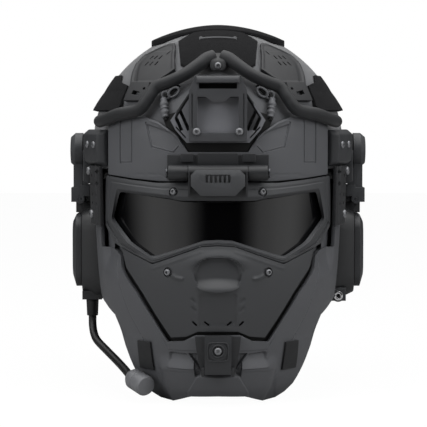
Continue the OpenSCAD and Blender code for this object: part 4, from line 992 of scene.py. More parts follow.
class MakeLoopPanels(bpy.types.Operator):
    """Loop fabric panels on the crown, front, sides and back"""
    bl_idname = "helmet.loop_panels"
    bl_label = "Loop fabric panels"

    def execute(self, context):
        half, middle, reach = 58, 19, 62

        def top_at(u, y, off):
            return on_crown(u * half * (1 - abs((y - middle) / reach) ** 4) ** 0.25, y, off)

        def ruffled(u, y):
            return 2.0 + 2.6 * u * u + 0.25 * math.sin(y * 2.1 + u * 13) * abs(u) ** 8

        top = surface_wall("Top loop panel", top_at, steps(-1, 1, 70), fine_steps([74, -36], 1.6), ruffled,
                           SEAT)
        settle(round_edges(top, 0.7, segments=3), "helmet", "loop", "loop", "crown_loop_panel")

        widths = [(-93, 25), (-87, 31), (-52, 33.5), (-39, 21)]

        def front_at(u, y, off):
            return on_crown(u * lookup(y, widths), y, off)

        def with_staple(u, y):
            staple = [(-14.5, -56), (-14.5, -59), (14.5, -59), (14.5, -56)]
            return 2.0 + 1.1 * ease(1.7 - line_distance((u * lookup(y, widths), y), staple) / 1.1)

        front = surface_wall("Front loop panel", front_at, steps(-1, 1, 46),
                             fine_steps([-39, -52, -87, -93], 1.2), with_staple, GAP)
        settle(round_edges(front, 0.5), "helmet", "loop", "loop", "front_loop_panel")
        front.data.materials.append(FINISHES["band"])
        for polygon in front.data.polygons:
            at = polygon.center * TO_MM
            if line_distance((at.x, at.y), [(-14.5, -57), (-14.5, -59), (14.5, -59), (14.5, -57)]) < 1.7:
                polygon.material_index = 1

        def lift(v):
            return 3 * clamp01((v - 0.7) / 0.12)

        front_th = [(0.59, 66), (0.635, 61), (0.66, 51.5), (0.76, 50), (0.79, 49), (0.82, 50)]

        def side_at(u, v, off):
            return dome(mix(lookup(v, front_th), 118, u), v, off)

        left = surface_wall("Side loop panel left", side_at, steps(0, 1, 56), steps(0.59, 0.82, 36),
                            lambda u, v: 2.1 + lift(v), SEAT)
        right = mirrored(left, "Side loop panel right")
        both = round_edges(join("Side loop panels", [left, right]), 0.6)
        settle(both, "helmet", "loop", "loop", "side_loop_panels")

        rear = surface_wall("Rear loop panel", dome, steps(154, 206, 60), steps(0.62, 0.98, 50), 2.1, SEAT)
        round_edges(rear, 0.6)
        settle(rear, "helmet", "loop", "loop", "rear_loop_panel")
        return {"FINISHED"}


class MakeVentPanels(bpy.types.Operator):
    """Raised panels with rows of vent slots"""
    bl_idname = "helmet.vent_panels"
    bl_label = "Vent panels"

    def execute(self, context):
        # Angle of both edges by row
        inner_th = [(0.345, 36), (0.4, 31), (0.447, 28.4), (0.509, 25.2), (0.56, 23.2), (0.61, 28),
                    (0.655, 33.4)]
        outer_th = [(0.345, 41), (0.4, 50.5), (0.447, 57), (0.509, 57.6), (0.56, 54.7), (0.61, 51.7),
                    (0.655, 49)]
        first, last = inner_th[0][0], inner_th[-1][0]

        def at(u, v, off):
            return dome(mix(lookup(v, inner_th), lookup(v, outer_th), u), v, off)

        def top(u, v):
            # A raised rim runs round a lower floor, with a step along its outer side
            span = lookup(v, outer_th) - lookup(v, inner_th)
            rim = min(u, 1 - u) * span * 1.5
            ends = min(v - first, last - v) * 170
            step = 0.9 * ease(((1 - u) * span * 1.5 - 7.0) / 1.2) if v > 0.42 else 0
            return 2.9 - 0.8 * ease((min(rim, ends) - 2.2) / 1.0) + 0.5 * step

        rows = fine_steps([v for v, _ in inner_th], 0.0075)
        panel = surface_wall("Left vent panel", at, steps(0, 1, 44), rows, top, GAP)
        cutters = []
        for th in (38, 42, 46):
            for v in (0.468, 0.515):
                cutters.append(self.slot(th, v, 4.6, 1.6, 14))
        cutters.append(self.slot(34, 0.43, 6, 1.2, 12))
        cut(panel, cutters)
        foot = surface_wall("Foot", dome, steps(34.5, 47.5, 30), steps(0.648, 0.76, 24), 4.5, SEAT)
        cut(foot, [self.slot(41, 0.715, 3.6, 9, 12), self.slot(36.5, 0.69, 2.2, 2.6, 12)])
        round_edges(panel, 0.35)
        round_edges(foot, 0.5)
        left = shade(join("Left vent panel", [panel, foot]), 40)
        right = shade(mirrored(left, "Right vent panel"), 40)
        settle(left, "helmet", "panel", "panel", "left_vent_panel")
        settle(right, "helmet", "panel", "panel", "right_vent_panel")
        return {"FINISHED"}

    @staticmethod
    def slot(th, v, long, wide, tilt):
        """A cutter that stands on the shell."""
        p = Vector(dome(th, v, 0))
        n = (Vector(dome(th, v, 1)) - p).normalized()
        turn = Matrix.Rotation(math.atan2(n.y, n.x), 3, "Z") @ Matrix.Rotation(math.acos(n.z), 3, "Y")
        return block("slot", (long, wide, 16), turn @ Matrix.Rotation(math.radians(tilt), 3, "Z"), p)


class MakeBrow(bpy.types.Operator):
    """Brow plate with its sunk panels, and the foam strip behind its lower edge"""
    bl_idname = "helmet.brow"
    bl_label = "Brow plate"

    def execute(self, context):
        top = [(0, 9), (24.5, 9), (32.4, -4), (48.8, -15.5), (60, -19.5), (78, -19), (91, -16)]
        low = [(0, 32.8), (48, 32.8), (70, 31), (92, 28.4)]
        xs = both_ways(fine_steps([0, 24.5, 28.5, 32.4, 48.8, 60, 78, 91.5], 1.1))
        panel = [(59, -14.5), (36.3, -6.5), (30.9, 3.3), (36.4, 9.5), (54, 4.9)]
        strip = [(70.8, -30), (70.8, 18), (80.6, 18), (80.6, -30)]
        w, d = sizes().groove_w * TO_MM, sizes().groove_d * TO_MM

        def detail(x, t):
            x = abs(x)
            drop = mix(lookup(x, top), lookup(x, low), t)
            h = 4.3
            # The sunk panel leans back, so that its floor faces up
            h += sunk((x, drop), panel, 1.9 - 1.5 * clamp01((drop + 10) / 17), 0.9)
            h += sunk((x, drop), strip, 0.5, 0.9)
            # A bead along the upper edge, beside the shroud
            bead = 0.8 * ease(1.2 - abs(drop - lookup(x, top) - 1.6) / 1.4)
            h += bead * ease((x - 26) / 4) * ease((60 - x) / 6)
            h += groove((x, drop), [(40, 32), (46, 27.5), (66, 27.5), (74, 30)], w * 0.8, d * 0.4)
            return h

        def at(x, t, off):
            return on_dome(x, mix(lookup(abs(x), top), lookup(abs(x), low), t), off)

        # A foam strip behind the plate's lower edge closes the gap above the visor frame
        seal = surface_wall("Brow seal", on_dome, steps(-90, 90, 90), steps(27.5, 39.5, 6), -0.4, -2.4)
        round_edges(seal, 0.4)
        settle(seal, "helmet", "gasket", "trim")

        brow = surface_wall("Brow plate", at, xs, steps(0, 1, 52), detail, GAP)
        round_edges(brow, sizes().edge * TO_MM, segments=3)
        seams = [[(59, -15.5), (54, 4.9), (36.4, 9.5), (31.5, 4.2)], [(56.8, -12.9), (33.8, 0.6)],
                 [(80.6, -19), (80.6, 18), (70.8, 18)], [(70.8, -18), (70.8, 18)]]
        score(brow, on_dome, seams, 4.2, 1.7)
        settle(brow, "helmet", "plate", "brow", "brow_plate")
        return {"FINISHED"}


class MakeBumper(bpy.types.Operator):
    """Rubber arms over the shroud, and the boss between them"""
    bl_idname = "helmet.bumper"
    bl_label = "Bumper and boss"

    def execute(self, context):
        half = [(2.6, -68.6, 2.6), (6.6, -67.4, 3.0), (10, -65.8, 3.3), (17, -61, 3.3),
                (28, -53.6, 3.3), (40, -48, 3.3), (51, -43.3, 3.3), (57.5, -34, 4.2),
                (65, -25.2, 4.9), (81, -21.8, 4.9), (93, -17.5, 4.2), (101, -15, 2.5)]
        path = spline([on_dome(x, drop, lift + BUMPER_R) for x, drop, lift in half], 12)

        def radius(t):
            # Thicker near the boss, and drawn in at both ends
            start = 1 - 0.5 * (1 - min(1, t / 0.03)) ** 2
            end = 1 - 0.55 * max(0, (t - 0.965) / 0.035) ** 2
            return (BUMPER_R + 0.9 * ease((0.34 - t) / 0.2)) * start * end

        left = tube("Bumper left", path, radius, 28, (0, -1, 0))
        both = join("Bumper", [left, mirrored(left, "Bumper right")])
        round_edges(both, 0, angle=60)
        settle(both, "helmet", "bumper", "bumper", "bumper")

        front_y = [(-72, -92), (-69.5, -99), (-65, -106), (-57.6, BOSS_FACE)]
        widths = [(-72, 3.4), (-70, 5.6), (-66, 6.6), (-60.5, 6.6), (-57.6, 5)]
        drops = fine_steps([-72, -57.6], 0.5)
        us = steps(-1, 1, 30)
        outer = [[(u * smooth_lookup(d, widths), smooth_lookup(d, front_y) + 2.5 * u * u, EQ - d) for u in us]
                 for d in drops]
        inner = [[on_dome(u * smooth_lookup(d, widths), d, 2.4) for u in us] for d in drops]
        boss = wall("Bumper boss", outer, inner)
        cut(boss, [rod("hole", 3.2, 3, (0, 1, 0), (0, BOSS_FACE, EQ + BOSS_SCREW))])
        round_edges(boss, 0.8, segments=3)
        settle(boss, "helmet", "bumper", "bumper", "crown_boss")
        return {"FINISHED"}


class MakeShroud(bpy.types.Operator):
    """Accessory shroud: base, coated plate, side cords and toggles"""
    bl_idname = "helmet.shroud"
    bl_label = "Shroud"

    def execute(self, context):
        base = node_copy("shroud_base", "Shroud base")
        face_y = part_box("shroud_base")[0].y * TO_MM

        def channel(x0, drop0, x1, drop1, wide):
            """A cutter for a straight channel in the front of the base."""
            long = math.hypot(x1 - x0, drop1 - drop0)
            turn = Matrix.Rotation(math.atan2(x1 - x0, drop0 - drop1), 3, "Y")
            return block("slot", (wide, 5, long), turn, ((x0 + x1) / 2, face_y, EQ - (drop0 + drop1) / 2))

        cutters = []
        for s in (-1, 1):
            cutters += [channel(s * 17.8, -44.2, s * 34.4, -18.4, 1.4),
                        channel(s * 34, -11.4, s * 26, -2.6, 1.0)]
        # The window shows a floor that leans back
        lean = Matrix.Rotation(math.radians(-8), 3, "X")
        cutters += [block("floor", (32.4, 8, 28), lean, (0, face_y - 2.4, EQ + 21.6)),
                    block("slot", (30.4, 12, 4.6), None, (0, face_y, EQ + 44.6))]
        cut(base, cutters)
        round_edges(base, 0.6, angle=25)
        settle(base, "helmet", "shroud", "shroud", "shroud_base")
        base.data.materials.append(FINISHES["floor"])
        base.data.materials.append(FINISHES["gasket"])
        # The window's floor faces get the lighter finish, a painted highlight, and the faces deep in the slot
        # get the black one, painted shade
        for polygon in base.data.polygons:
            at = polygon.center * TO_MM
            if abs(at.x) < 16.3 and EQ + 7.4 < at.z < EQ + 36 and polygon.normal.y < -0.8:
                polygon.material_index = 1
            elif abs(at.x) < 15.6 and EQ + 42 < at.z < EQ + 47.2 and at.y > face_y + 0.5:
                polygon.material_index = 2

        # A black strip that fills the channel between the base and the brow plate, painted shade for the
        # channel's depth
        near = [(0, 1.2), (24.6, 1.2), (33.4, -9.2), (37.6, -16.6), (33, -23.6)]
        far = [(0, 8.6), (24.2, 8.6), (31.9, -4.2), (42, -11.2), (45.5, -20)]

        def corner(points, i):
            k = int(min(abs(i), 3))
            return mix(points[k], points[k + 1], abs(i) - k)

        def along(i, t, off):
            a, b = corner(near, i), corner(far, i)
            return on_dome(math.copysign(mix(a[0], b[0], t), i), mix(a[1], b[1], t), off)

        columns = both_ways(fine_steps([0, 1, 2, 3, 4], 0.12))
        seal = surface_wall("Shroud seal", along, columns, steps(0, 1, 6), 2.4, 0.4)
        round_edges(seal, 0.3)
        settle(seal, "helmet", "gasket", "trim")

        plate = node_copy("shroud_plate", "Shroud plate")
        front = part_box("shroud_plate")[0].y * TO_MM
        cut(plate, [block("slot", (0.9, 2.4, 28), None, (s * 20.8, front, EQ + 24)) for s in (-1, 1)])
        hood = []
        for x, y, z, tall in ((17.5, front + 1, EQ + 46.6, 6.0), (17.5, front - 1.4, EQ + 46.6, 5.2),
                              (17.5 - 1.2, front - 2.6, EQ + 47.2, 2.4)):
            hood.append([(-x, y, z), (x, y, z), (x, y, z + tall), (-x, y, z + tall)])
        plate = join("Shroud plate", [plate, loft("hood", hood)])
        round_edges(plate, 0.5, segments=3)
        settle(plate, "helmet", "coated", "plate_metal", "shroud_plate")

        route = [(31.6, -45), (33.4, -43.2), (36, -40.8), (39.5, -38.2), (42.4, -36.2), (44.2, -33),
                 (43.8, -28), (43, -22), (42.5, -16.8)]
        path = spline([on_dome(x, drop, 3.5) for x, drop in route], 10)
        left = tube("Elastic cord left", path, CORD_R, 16, (0, -1, 0))
        cords = join("Elastic cords", [left, mirrored(left, "Elastic cord right")])
        round_edges(cords, 0)
        settle(cords, "helmet", "cord", "cord", "bungees")

        route = [(44.3, -34.5), (43.8, -28), (43.3, -24.4), (42.7, -19)]
        path = spline([on_dome(x, drop, 3.6) for x, drop in route], 12)

        def grip(t):
            waist = 0.45 * math.cos(2 * math.pi * t * 4)
            return (3.2 + waist) * (1 - 0.4 * (abs(2 * t - 1)) ** 8)

        parts = [tube("Toggle left", path, grip, 20, (0, -1, 0))]
        # Two oval rings hook the toggle to the cord
        for x, drop, long, turn in ((36.2, -39.6, 5.0, 0.7), (42.6, -37.2, 3.2, -0.5)):
            middle = Vector(on_dome(x, drop, 4.4))
            c, s = math.cos(turn), math.sin(turn)
            loop = [middle + Vector((long * math.cos(a) * c - 3 * math.sin(a) * s, 0.6 * math.sin(a),
                                     -long * math.cos(a) * s - 3 * math.sin(a) * c)) for a in circle(24)]
            parts.append(ring_tube("ring", loop, 0.95, 10, (0, 1, 0)))
        left = join("Toggle left", parts)
        toggles = join("Cord toggles", [left, mirrored(left, "Toggle right")])
        round_edges(toggles, 0)
        settle(toggles, "helmet", "toggle", "small_plastic", "bungee_toggles")
        return {"FINISHED"}


class MakeHinge(bpy.types.Operator):
    """Brow hinge, the visor's block and the ribbed release button"""
    bl_idname = "helmet.hinge"
    bl_label = "Hinge and release button"

    def execute(self, context):
        from_cad("hinge_bracket", "Hinge bracket", "helmet", "hinge", "shroud", 0.45, segments=3)
        from_cad("visor_hinge_block", "Visor hinge block", "face_unit", "hinge", "shroud", 0.45, segments=3)

        low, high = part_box("release_button")
        front, back = low.y * TO_MM, high.y * TO_MM
        half, top, foot = 21.6, EQ - 22.8, EQ - 43.4

        def octagon(inset, y):
            a, b = half - inset, inset * 0.6
            return [(-half + 4 + b, y, top - inset), (half - 4 - b, y, top - inset), (a, y, top - 4 - b),
                    (a, y, foot + 8 + b), (half - 8 - b, y, foot + inset), (-half + 8 + b, y, foot + inset),
                    (-a, y, foot + 8 + b), (-a, y, top - 4 - b)]

        button = loft("Release button", [octagon(0, front + 4), octagon(0, front + 1.6), octagon(4.5, front)])
        count = sizes().ribs
        pitch = sizes().rib_pitch * TO_MM
        slot_w = 1.9
        places = [(i - (count - 1) / 2) * pitch for i in range(count)]
        slots = [block("slot", (slot_w, 4, 5.2), None, (x, front, top - 6.6)) for x in places]
        slots += [rod("slot", slot_w / 2, 4, (0, 1, 0), (x, front, top - 9.2)) for x in places]
        slots.append(block("slot", ((count - 1) * pitch + slot_w, 3, 1.7), None, (0, front, top - 4.4)))
        cut(button, slots)
        round_edges(button, 0.5, segments=3)
        stems = [rod("stem", 1.8, back - front - 3, (0, 1, 0), (s * 12, (back + front + 3) / 2, EQ - 38))
                 for s in (-1, 1)]
        button = shade(join("Release button", [button] + stems), 40)
        settle(button, "release_button", "visor", "shroud", "release_button")

        bar = block("Rib", (1.0, 0.9, 5.4))
        round_edges(bar, 0.35, segments=3)
        base = new_object("Ribs", [(0, 0, 0)], [])
        tree = instance_tree("Ribs", rib_points)
        ribs = run_tree("Finger ribs", base, tree, {
            "Source": bar, "Material": FINISHES["visor"], "Count": count - 1, "Pitch": (pitch * MM, 0, 0),
            "First": (-(count - 2) / 2 * pitch * MM, (front + 0.2) * MM, (top - 7.2) * MM)})
        discard(bar)
        settle(ribs, "release_button", "visor", "shroud")
        for node, body in (("hinge_pin", "helmet"), ("latch_pin", "helmet"),
                           ("left_arm_pin", "left_arm"), ("right_arm_pin", "helmet")):
            from_cad(node, node.replace("_", " ").capitalize(), body, "pin", "pin", sizes().fine_edge * TO_MM)
        return {"FINISHED"}


def whole_loop(half):
    """The outline of both halves, as one closed loop."""
    return [(-x, d) for x, d in half] + [half[i] for i in range(len(half) - 2, 0, -1)]


def refine(loop, n):
    """The loop with each side split into n parts."""
    return [mix(loop[i], loop[(i + 1) % len(loop)], k / n) for i in range(len(loop)) for k in range(n)]


def soften(loop, rounds):
    """Rounds the corners of a closed loop a little."""
    n = len(loop)
    for _ in range(rounds):
        loop = [mix(loop[i], mix(loop[i - 1], loop[(i + 1) % n], 0.5), 0.5) for i in range(n)]
    return loop


class MakeVisor(bpy.types.Operator):
    """Visor frame, dark lens and its gasket"""
    bl_idname = "helmet.visor"
    bl_label = "Visor"

    def execute(self, context):
        lens_loop = soften(refine(whole_loop(LENS_HALF), 16), 3)
        frame_loop = soften(refine(whole_loop(FRAME_HALF), 16), 1)
        # From the lens opening out to the frame's edge: shares of the way, and heights along it
        shares = [0, 0.05, 0.1, 0.16, 0.22, 0.26] + steps(0.3, 0.94, 16) + [0.965, 0.985, 1.0]
        profile = [(0, -2.4), (0.1, -1.2), (0.22, 0.5), (0.26, 0.6), (0.58, 0.5), (0.66, -0.2), (0.8, 0.1),
                   (1, -0.6)]

        def depth(p, t):
            h = lookup(t, profile)
            if abs(p[0]) > 45 and p[1] > 62:
                # A long hollow in the frame's lower corners
                hollow = -1.1 * ease((t - 0.3) / 0.08) * ease((0.78 - t) / 0.08)
                h += hollow * ease((p[1] - 66) / 3) * ease((94 - p[1]) / 4)
            return h

        outer, inner = [], []
        for t in shares:
            ring = [mix(a, b, t) for a, b in zip(lens_loop, frame_loop)]
            outer.append([on_face(p[0], p[1], depth(p, t)) for p in ring])
            inner.append([on_face(p[0], p[1], -5) for p in ring])
        rim = wall("Visor frame", outer, inner, wrap=True)
        x, drop = FRAME_SEAT
        cut(rim, [rod("seat", 4.1, 5, normal_at(on_face, s * x, drop), on_face(s * x, drop, 0.8))
                  for s in (-1, 1)])
        round_edges(rim, 0.4, angle=45)
        settle(rim, "face_unit", "visor", "visor", "visor_frame")

        top = [(0, 43.5), (30, 43.5), (40, 42.2), (81, 38.2), (87.6, 42)]
        low = [(0, 83), (12, 83.6), (53, 96.6), (72, 85), (87.6, 66)]

        def at(x, t, off):
            return on_face(x, mix(smooth_lookup(abs(x), top), smooth_lookup(abs(x), low), t), off)

        xs = both_ways(fine_steps([0, 12, 53, 72, 87.6], 1.5))
        lens = surface_wall("Lens", at, xs, steps(0, 1, 30), -LENS_DEEP, -(LENS_DEEP + LENS_T))
        round_edges(lens, 0)
        settle(lens, "face_unit", "lens", "lens", "lens")

        loops = list(zip(refine(whole_loop(LENS_HALF), 8), refine(whole_loop(FRAME_HALF), 8)))
        rings = [[mix(a, b, t) for a, b in loops] for t in (-0.04, 0.09, 0.22)]
        front = -7.8

        def behind(p):
            # The gasket is thinner towards its sides
            x, y, z = on_face(p[0], p[1], front)
            return (x, y + 4 * (1 - 0.6 * clamp01((abs(p[0]) - 55) / 25)), z)

        outer = [[on_face(p[0], p[1], front) for p in ring] for ring in rings]
        inner = [[behind(p) for p in ring] for ring in rings]
        gasket = wall("Lens gasket", outer, inner, wrap=True)
        seam_top = [(0, 83.4), (12, 84), (53, 97), (72, 85.4)]
        seam_low = [(0, 88), (13.6, 88.8), (53, 103.4), (79, 92)]

        def seam_at(x, t, off):
            return on_face(x, mix(lookup(abs(x), seam_top), lookup(abs(x), seam_low), t), off)

        strip = surface_wall("Seam strip", seam_at, both_ways(fine_steps([0, 12, 53, 71], 2)), steps(0, 1, 4),
                             -LENS_DEEP, -LENS_DEEP - 1.5)
        gasket = join("Lens gasket", [gasket, strip])
        round_edges(gasket, 0.3)
        settle(gasket, "face_unit", "gasket", "trim", "lens_gasket")
        return {"FINISHED"}


class MakeFacePlate(bpy.types.Operator):
    """Face plate with its breathing slots, and the nose cover"""
    bl_idname = "helmet.face_plate"
    bl_label = "Face plate"

    def execute(self, context):
        top = [(0, 83.7), (13.6, 84.5), (53, 99.1), (79, 87.9)]
        low = [(0, 152.6), (16, 152.6), (25.6, 157), (38, 158.3)]
        side = [(0, 79), (0.22, 75), (0.5, 61), (0.76, 49.5), (1, 38)]
        us = both_ways(fine_steps([0, 0.172, 0.42, 0.67, 1], 0.017))

        def place(u, t):
            return (u * lookup(t, side), mix(lookup(abs(u) * 79, top), lookup(abs(u) * 38, low), t))

        def detail(u, t):
            x, drop = place(abs(u), t)
            ring = ((x / NOSE_W) ** 2.4 + (abs(drop - NOSE_DROP) / NOSE_H) ** 2.4) ** (1 / 2.4)
            # The brim over the nose cover, the opening under it, and the sunk panel below
            h = 1.8 * ease((1.5 - ring) / 0.55) * ease((103 - drop) / 10)
            h += -4.6 * ease((0.9 - ring) / 0.03)
            h += -1.1 * ease((15.5 - x) / 1.5) * ease((drop - 121) / 3) * ease((149 - drop) / 4)
            for x0, drop0 in ((19.6, 127.5), (19.2, 134.5)):
                dent = line_distance((x, drop), [(x0 - 1.2, drop0 + 1.2), (x0 + 1.2, drop0 - 1.2)])
                h += -0.9 * ease(1.3 - dent / 1.2)
            fin = line_distance((x, drop), [(38, 106.4), (33.6, 109.2), (29, 109.9)])
            h += 1.2 * ease(1.4 - fin / 1.2)
            h += 0.4 * ease(1 - abs(line_distance((x, drop), [(13.6, 88), (53, 102.6)])) / 1.6)
            return h

        def at(u, t, off):
            x, drop = place(u, t)
            return on_face(x, drop, off)

        plate = surface_wall("Face plate", at, us, steps(0, 1, 62), detail, -3.5)
        cutters = []
        for s in (-1, 1):
            for x, drop, turn in ((9, 146, 52), (18.7, 146, 46)):
                cutters.append(block("slot", (1.5, 30, 5), Matrix.Rotation(math.radians(s * turn), 3, "Y"),
                                     (s * x, -(FRONT + 22), EQ - drop)))
        x, drop = PLATE_SEAT
        cutters += [rod("seat", 4.2, 5, normal_at(on_face, s * x, drop), on_face(s * x, drop, 0.4))
                    for s in (1, -1)]
        cut(plate, cutters)
        round_edges(plate, 0.4, angle=50)
        settle(plate, "face_unit", "face", "visor", "face_plate")
        plate.data.materials.append(FINISHES["nose"])
        for polygon in plate.data.polygons:
            centre = polygon.center * TO_MM
            if abs(centre.x) < 15.4 and -148.5 < centre.z - EQ < -121.5:
                polygon.material_index = 1

        foam = surface_wall("Breath filter", on_face, steps(-25, 25, 50), steps(119, 149.5, 30), -3.8, -7.8)
        round_edges(foam, 0.8, segments=3)
        settle(foam, "face_unit", "filter", "foam", "breath_filter")

        def nose_at(u, v, off):
            return on_face(u * NOSE_W * (1 - abs(v) ** 2.6) ** (1 / 2.6), NOSE_DROP + v * NOSE_H, off)

        def rise(u, v):
            # Scooped out: hollow under the upper lip, running out to the lower edge
            ring = (abs(u) ** 5 + abs(v) ** 5) ** 0.2
            hollow = -2.6 + 6.6 * ease((v - 0.12 - 0.2 * u * u) / 0.86)
            brim = 0.3 + 1.7 * ease((-0.1 - v) / 0.6)
            return mix(hollow, brim, ease((ring - 0.8) / 0.18) * ease((0.3 - v) / 0.5))

        nose = surface_wall("Nose cover", nose_at, steps(-1, 1, 36), steps(-0.992, 0.992, 36), rise,
                            lambda u, v: min(rise(u, v) - 1.2, 0.15))
        round_edges(nose, 0.4)
        settle(nose, "face_unit", "nose", "small_plastic", "nose_cover")
        return {"FINISHED"}


class MakeJaw(bpy.types.Operator):
    """Jaw guard, the blocks let on to it, the chin and its latch, and the posts"""
    bl_idname = "helmet.jaw"
    bl_label = "Jaw guard"

    def execute(self, context):
        # Drop of the upper and the lower edge, by angle
        top = [(0, 155.5), (8.7, 155.5), (14.6, 160.6), (23, 161.8), (24.5, 158), (30.2, 141.6),
               (37.2, 123.7), (48, 104), (51, 95), (55, 92), (60, 90), (66.8, 89.5), (67.6, 44), (81, 43)]
        low = [(0, 207), (14, 207.6), (22, 211), (30, 214), (40, 213), (47, 209), (51, 202), (54, 184),
               (56, 157), (59, 145.3), (65, 141.3), (70, 138), (81, 134)]
        chin_ths = fine_steps([0, 8.7, 14.6, 19], 0.25)
        side_ths = fine_steps([19, 23, 24.5, 30.2, 37.2, 48, 51, 55, 59, 66.8, 67.6, 81], 0.8)
        ths = both_ways(chin_ths + side_ths[1:])
        # The seam down each side, as angle and drop, with about 1.9 mm to a degree
        arc = 1.9
        line = [(71, 71.3), (57.3, 81.1), (50.2, 114.7), (44, 141.9), (37.4, 162.4)]
        facet = [(38.2, 169.7), (24.6, 170.8), (16.0, 182.2), (14.6, 184.2), (39.2, 183.6)]
        notch = [(23.6, 170.4), (11.0, 170.4), (11.0, 184.4), (14.2, 184.4), (15.4, 182)]
        bar_end = [(43.5, 160), (42.8, 161.7), (38.4, 168.6)]
        crease = [(184.4, 12.4), (203.2, 22.3)]
        w, d = sizes().groove_w * TO_MM, sizes().groove_d * TO_MM

        def jaw_off(th, drop):
            a = abs(th)
            tuck = 6 * ease((116 - drop) / 24) * ease((a - 42) / 11) * ease((67 - a) / 4)
            start = 187 if a < 10 else 171
            chin = 4 * ease((drop - start) / (4 if a < 10 else 16)) * ease((32 - a) / 6)
            return JAW_OUT - tuck + chin

        def detail(th, t):
            a = abs(th)
            drop = mix(lookup(a, top), lookup(a, low), t)
            h = jaw_off(th, drop)
            h += groove((a * arc, drop), [(q * arc, e) for q, e in line], w * 1.2, d * 1.2)
            # Behind the seam the surface is a little lower
            seam_th = lookup(drop, [(71, 71), (81, 57.3), (114.7, 50.2), (141.9, 44), (162.4, 37.4)])
            h += -0.6 * ease((a - seam_th) / 0.8) * ease((162 - drop) / 3) * ease((drop - 66) / 4)
            x = abs(face(a, drop, 0)[0])
            if x < 46 and drop > 155:
                p = (x, drop)
                # A facet that leans from sunk at its top to raised at its foot, and a notch beside it
                h += sunk(p, facet, mix(3.1, -1.3, clamp01((drop - 169.7) / 13.6)), 0.7)
                if not inside(p, facet):
                    h += sunk(p, notch, 2.9, 0.7)
                h += groove(p, bar_end, 1.6, 0.6)
                # The bar below the face plate stands out, and the chin has a raised middle
                bar = 0.6 * ease((x - 12) / 2) * ease((168.8 - drop) / 0.9)
                h += bar * ease((drop - 156) / 2) * ease((41 - x) / 2)
                h += -0.8 * ease((x - lookup(drop, crease)) / 1.2) * ease((drop - 184.8) / 2)
            return h

        def at(th, t, off):
            return face(th, mix(lookup(abs(th), top), lookup(abs(th), low), t), off)

        def under(th, t):
            return jaw_off(th, mix(lookup(abs(th), top), lookup(abs(th), low), t)) - JAW_T

        jaw = surface_wall("Jaw guard", at, ths, steps(0, 1, 104), detail, under)
        # Inner lips that close the view past the ends of the visor frame
        lip = surface_wall("Inner lip", face, steps(46, 66, 14), steps(84, 112, 14), -10.6, -12.2)

        # An ear that dips behind the visor frame, and rises only beside it, so that the visor swings clear
        def ear_off(x):
            return -6.0 + 7.0 * ease((x - EAR_X + 0.5) / 4)

        ear = surface_wall("Ear", on_face, steps(86, EAR_X + 5, 24), steps(64, 96, 16),
                           lambda x, drop: ear_off(x), lambda x, drop: ear_off(x) - 1.7)
        jaw = join("Jaw guard", [jaw, mirrored(lip, "Inner lip"), lip, mirrored(ear, "Ear"), ear])
        round_edges(jaw, 0.6, angle=50)
        score(jaw, lambda th, drop, off: face(th, drop, jaw_off(th, drop) + off), [line], -0.2, 1.5)
        settle(jaw, "helmet", "plate", "brow", "jaw_guard")

        front_th = [(163, 32.5), (193, 34.5)]
        back_th = [(163, 41), (193, 46)]

        def block_at(u, drop, off):
            return face(mix(lookup(drop, front_th), lookup(drop, back_th), u), drop, off)

        left = surface_wall("Insert left", block_at, steps(0, 1, 16), steps(163, 187, 24), 3.6, 1.8)
        inserts = join("Jaw inserts", [left, mirrored(left, "Insert right")])
        round_edges(inserts, 0.5)
        settle(inserts, "helmet", "insert", "small_plastic", "jaw_inserts")

        def post_rise(th, drop):
            return 6.2 - 0.8 * ease((th - 74.5) / 0.6) - 1.4 * ease((65.2 - th) / 1.0)

        post = surface_wall("Jaw posts", face, steps(61.2, 77.5, 33), steps(22, 71, 44), post_rise, 1.8)
        hole_th = 70
        aim = Matrix.Rotation(math.radians(hole_th), 3, "Z") @ Vector((0, -1, 0))
        holes = [rod("hole", 1.6, 30, aim, face(hole_th, drop, 0), 24) for drop in (30, 37.5, 46, 53.5)]
        # Diamond sockets in the edge that faces forward
        for x, drop in ((101.6, 26.5), (101.8, 36.5), (103.2, 46), (102.8, 53.5)):
            holes.append(rod("hole", 1.9, 9, (0, 1, 0), (x, face(62.8, drop, 4)[1], EQ - drop), 4))
        cut(post, holes)
        round_edges(post, 0.5)
        posts = shade(join("Jaw posts", [post, mirrored(post, "Right post")]), 40)
        settle(posts, "helmet", "panel", "panel", "jaw_posts")

        # The seal's section: its drop from the guard's edge and its height, row by row
        shifts = [(0, -9), (1, -2), (2, 2), (3, 6.5)]
        depths = [(0, -5), (1, -5), (2, -4.8), (3, -2.7)]

        def seal_at(th, row, off):
            drop = lookup(abs(th), top) + lookup(row, shifts)
            deep = lookup(row, depths)
            return face(th, drop, deep + clamp01(row - 2) * (jaw_off(th, drop) - JAW_OUT) + off)

        def fin_at(off, drop, th):
            return face(74 + th, drop, off)

        seal_ths = both_ways(fine_steps([0, 8.7, 14.6, 23, 24.5, 30.2, 37.2, 48], 1.5))
        fins = surface_wall("Seal fin", fin_at, [-2.3, -6.5, -11], steps(38, 90, 20), 0.5, -0.5)
        seal = surface_wall("Jaw seal", seal_at, seal_ths, steps(0, 3, 12), 0, -1.6)
        tops = surface_wall("Seal fin", fin_at, [-4.7, -7.5, -11], steps(33.6, 38.4, 3), 0.5, -0.5)
        seal = join("Jaw seal", [seal, mirrored(fins, "Seal fin"), fins, mirrored(tops, "Seal fin"), tops])
        round_edges(seal, 0.4)
        settle(seal, "helmet", "trim", "trim", "jaw_seal")

        from_cad("chin_block", "Chin block", "helmet", "panel", "shroud", 0.5, angle=35, segments=3)
        latch = round_edges(node_copy("chin_latch", "Chin latch"), 0.45, segments=3)
        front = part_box("chin_latch")[0].y * TO_MM
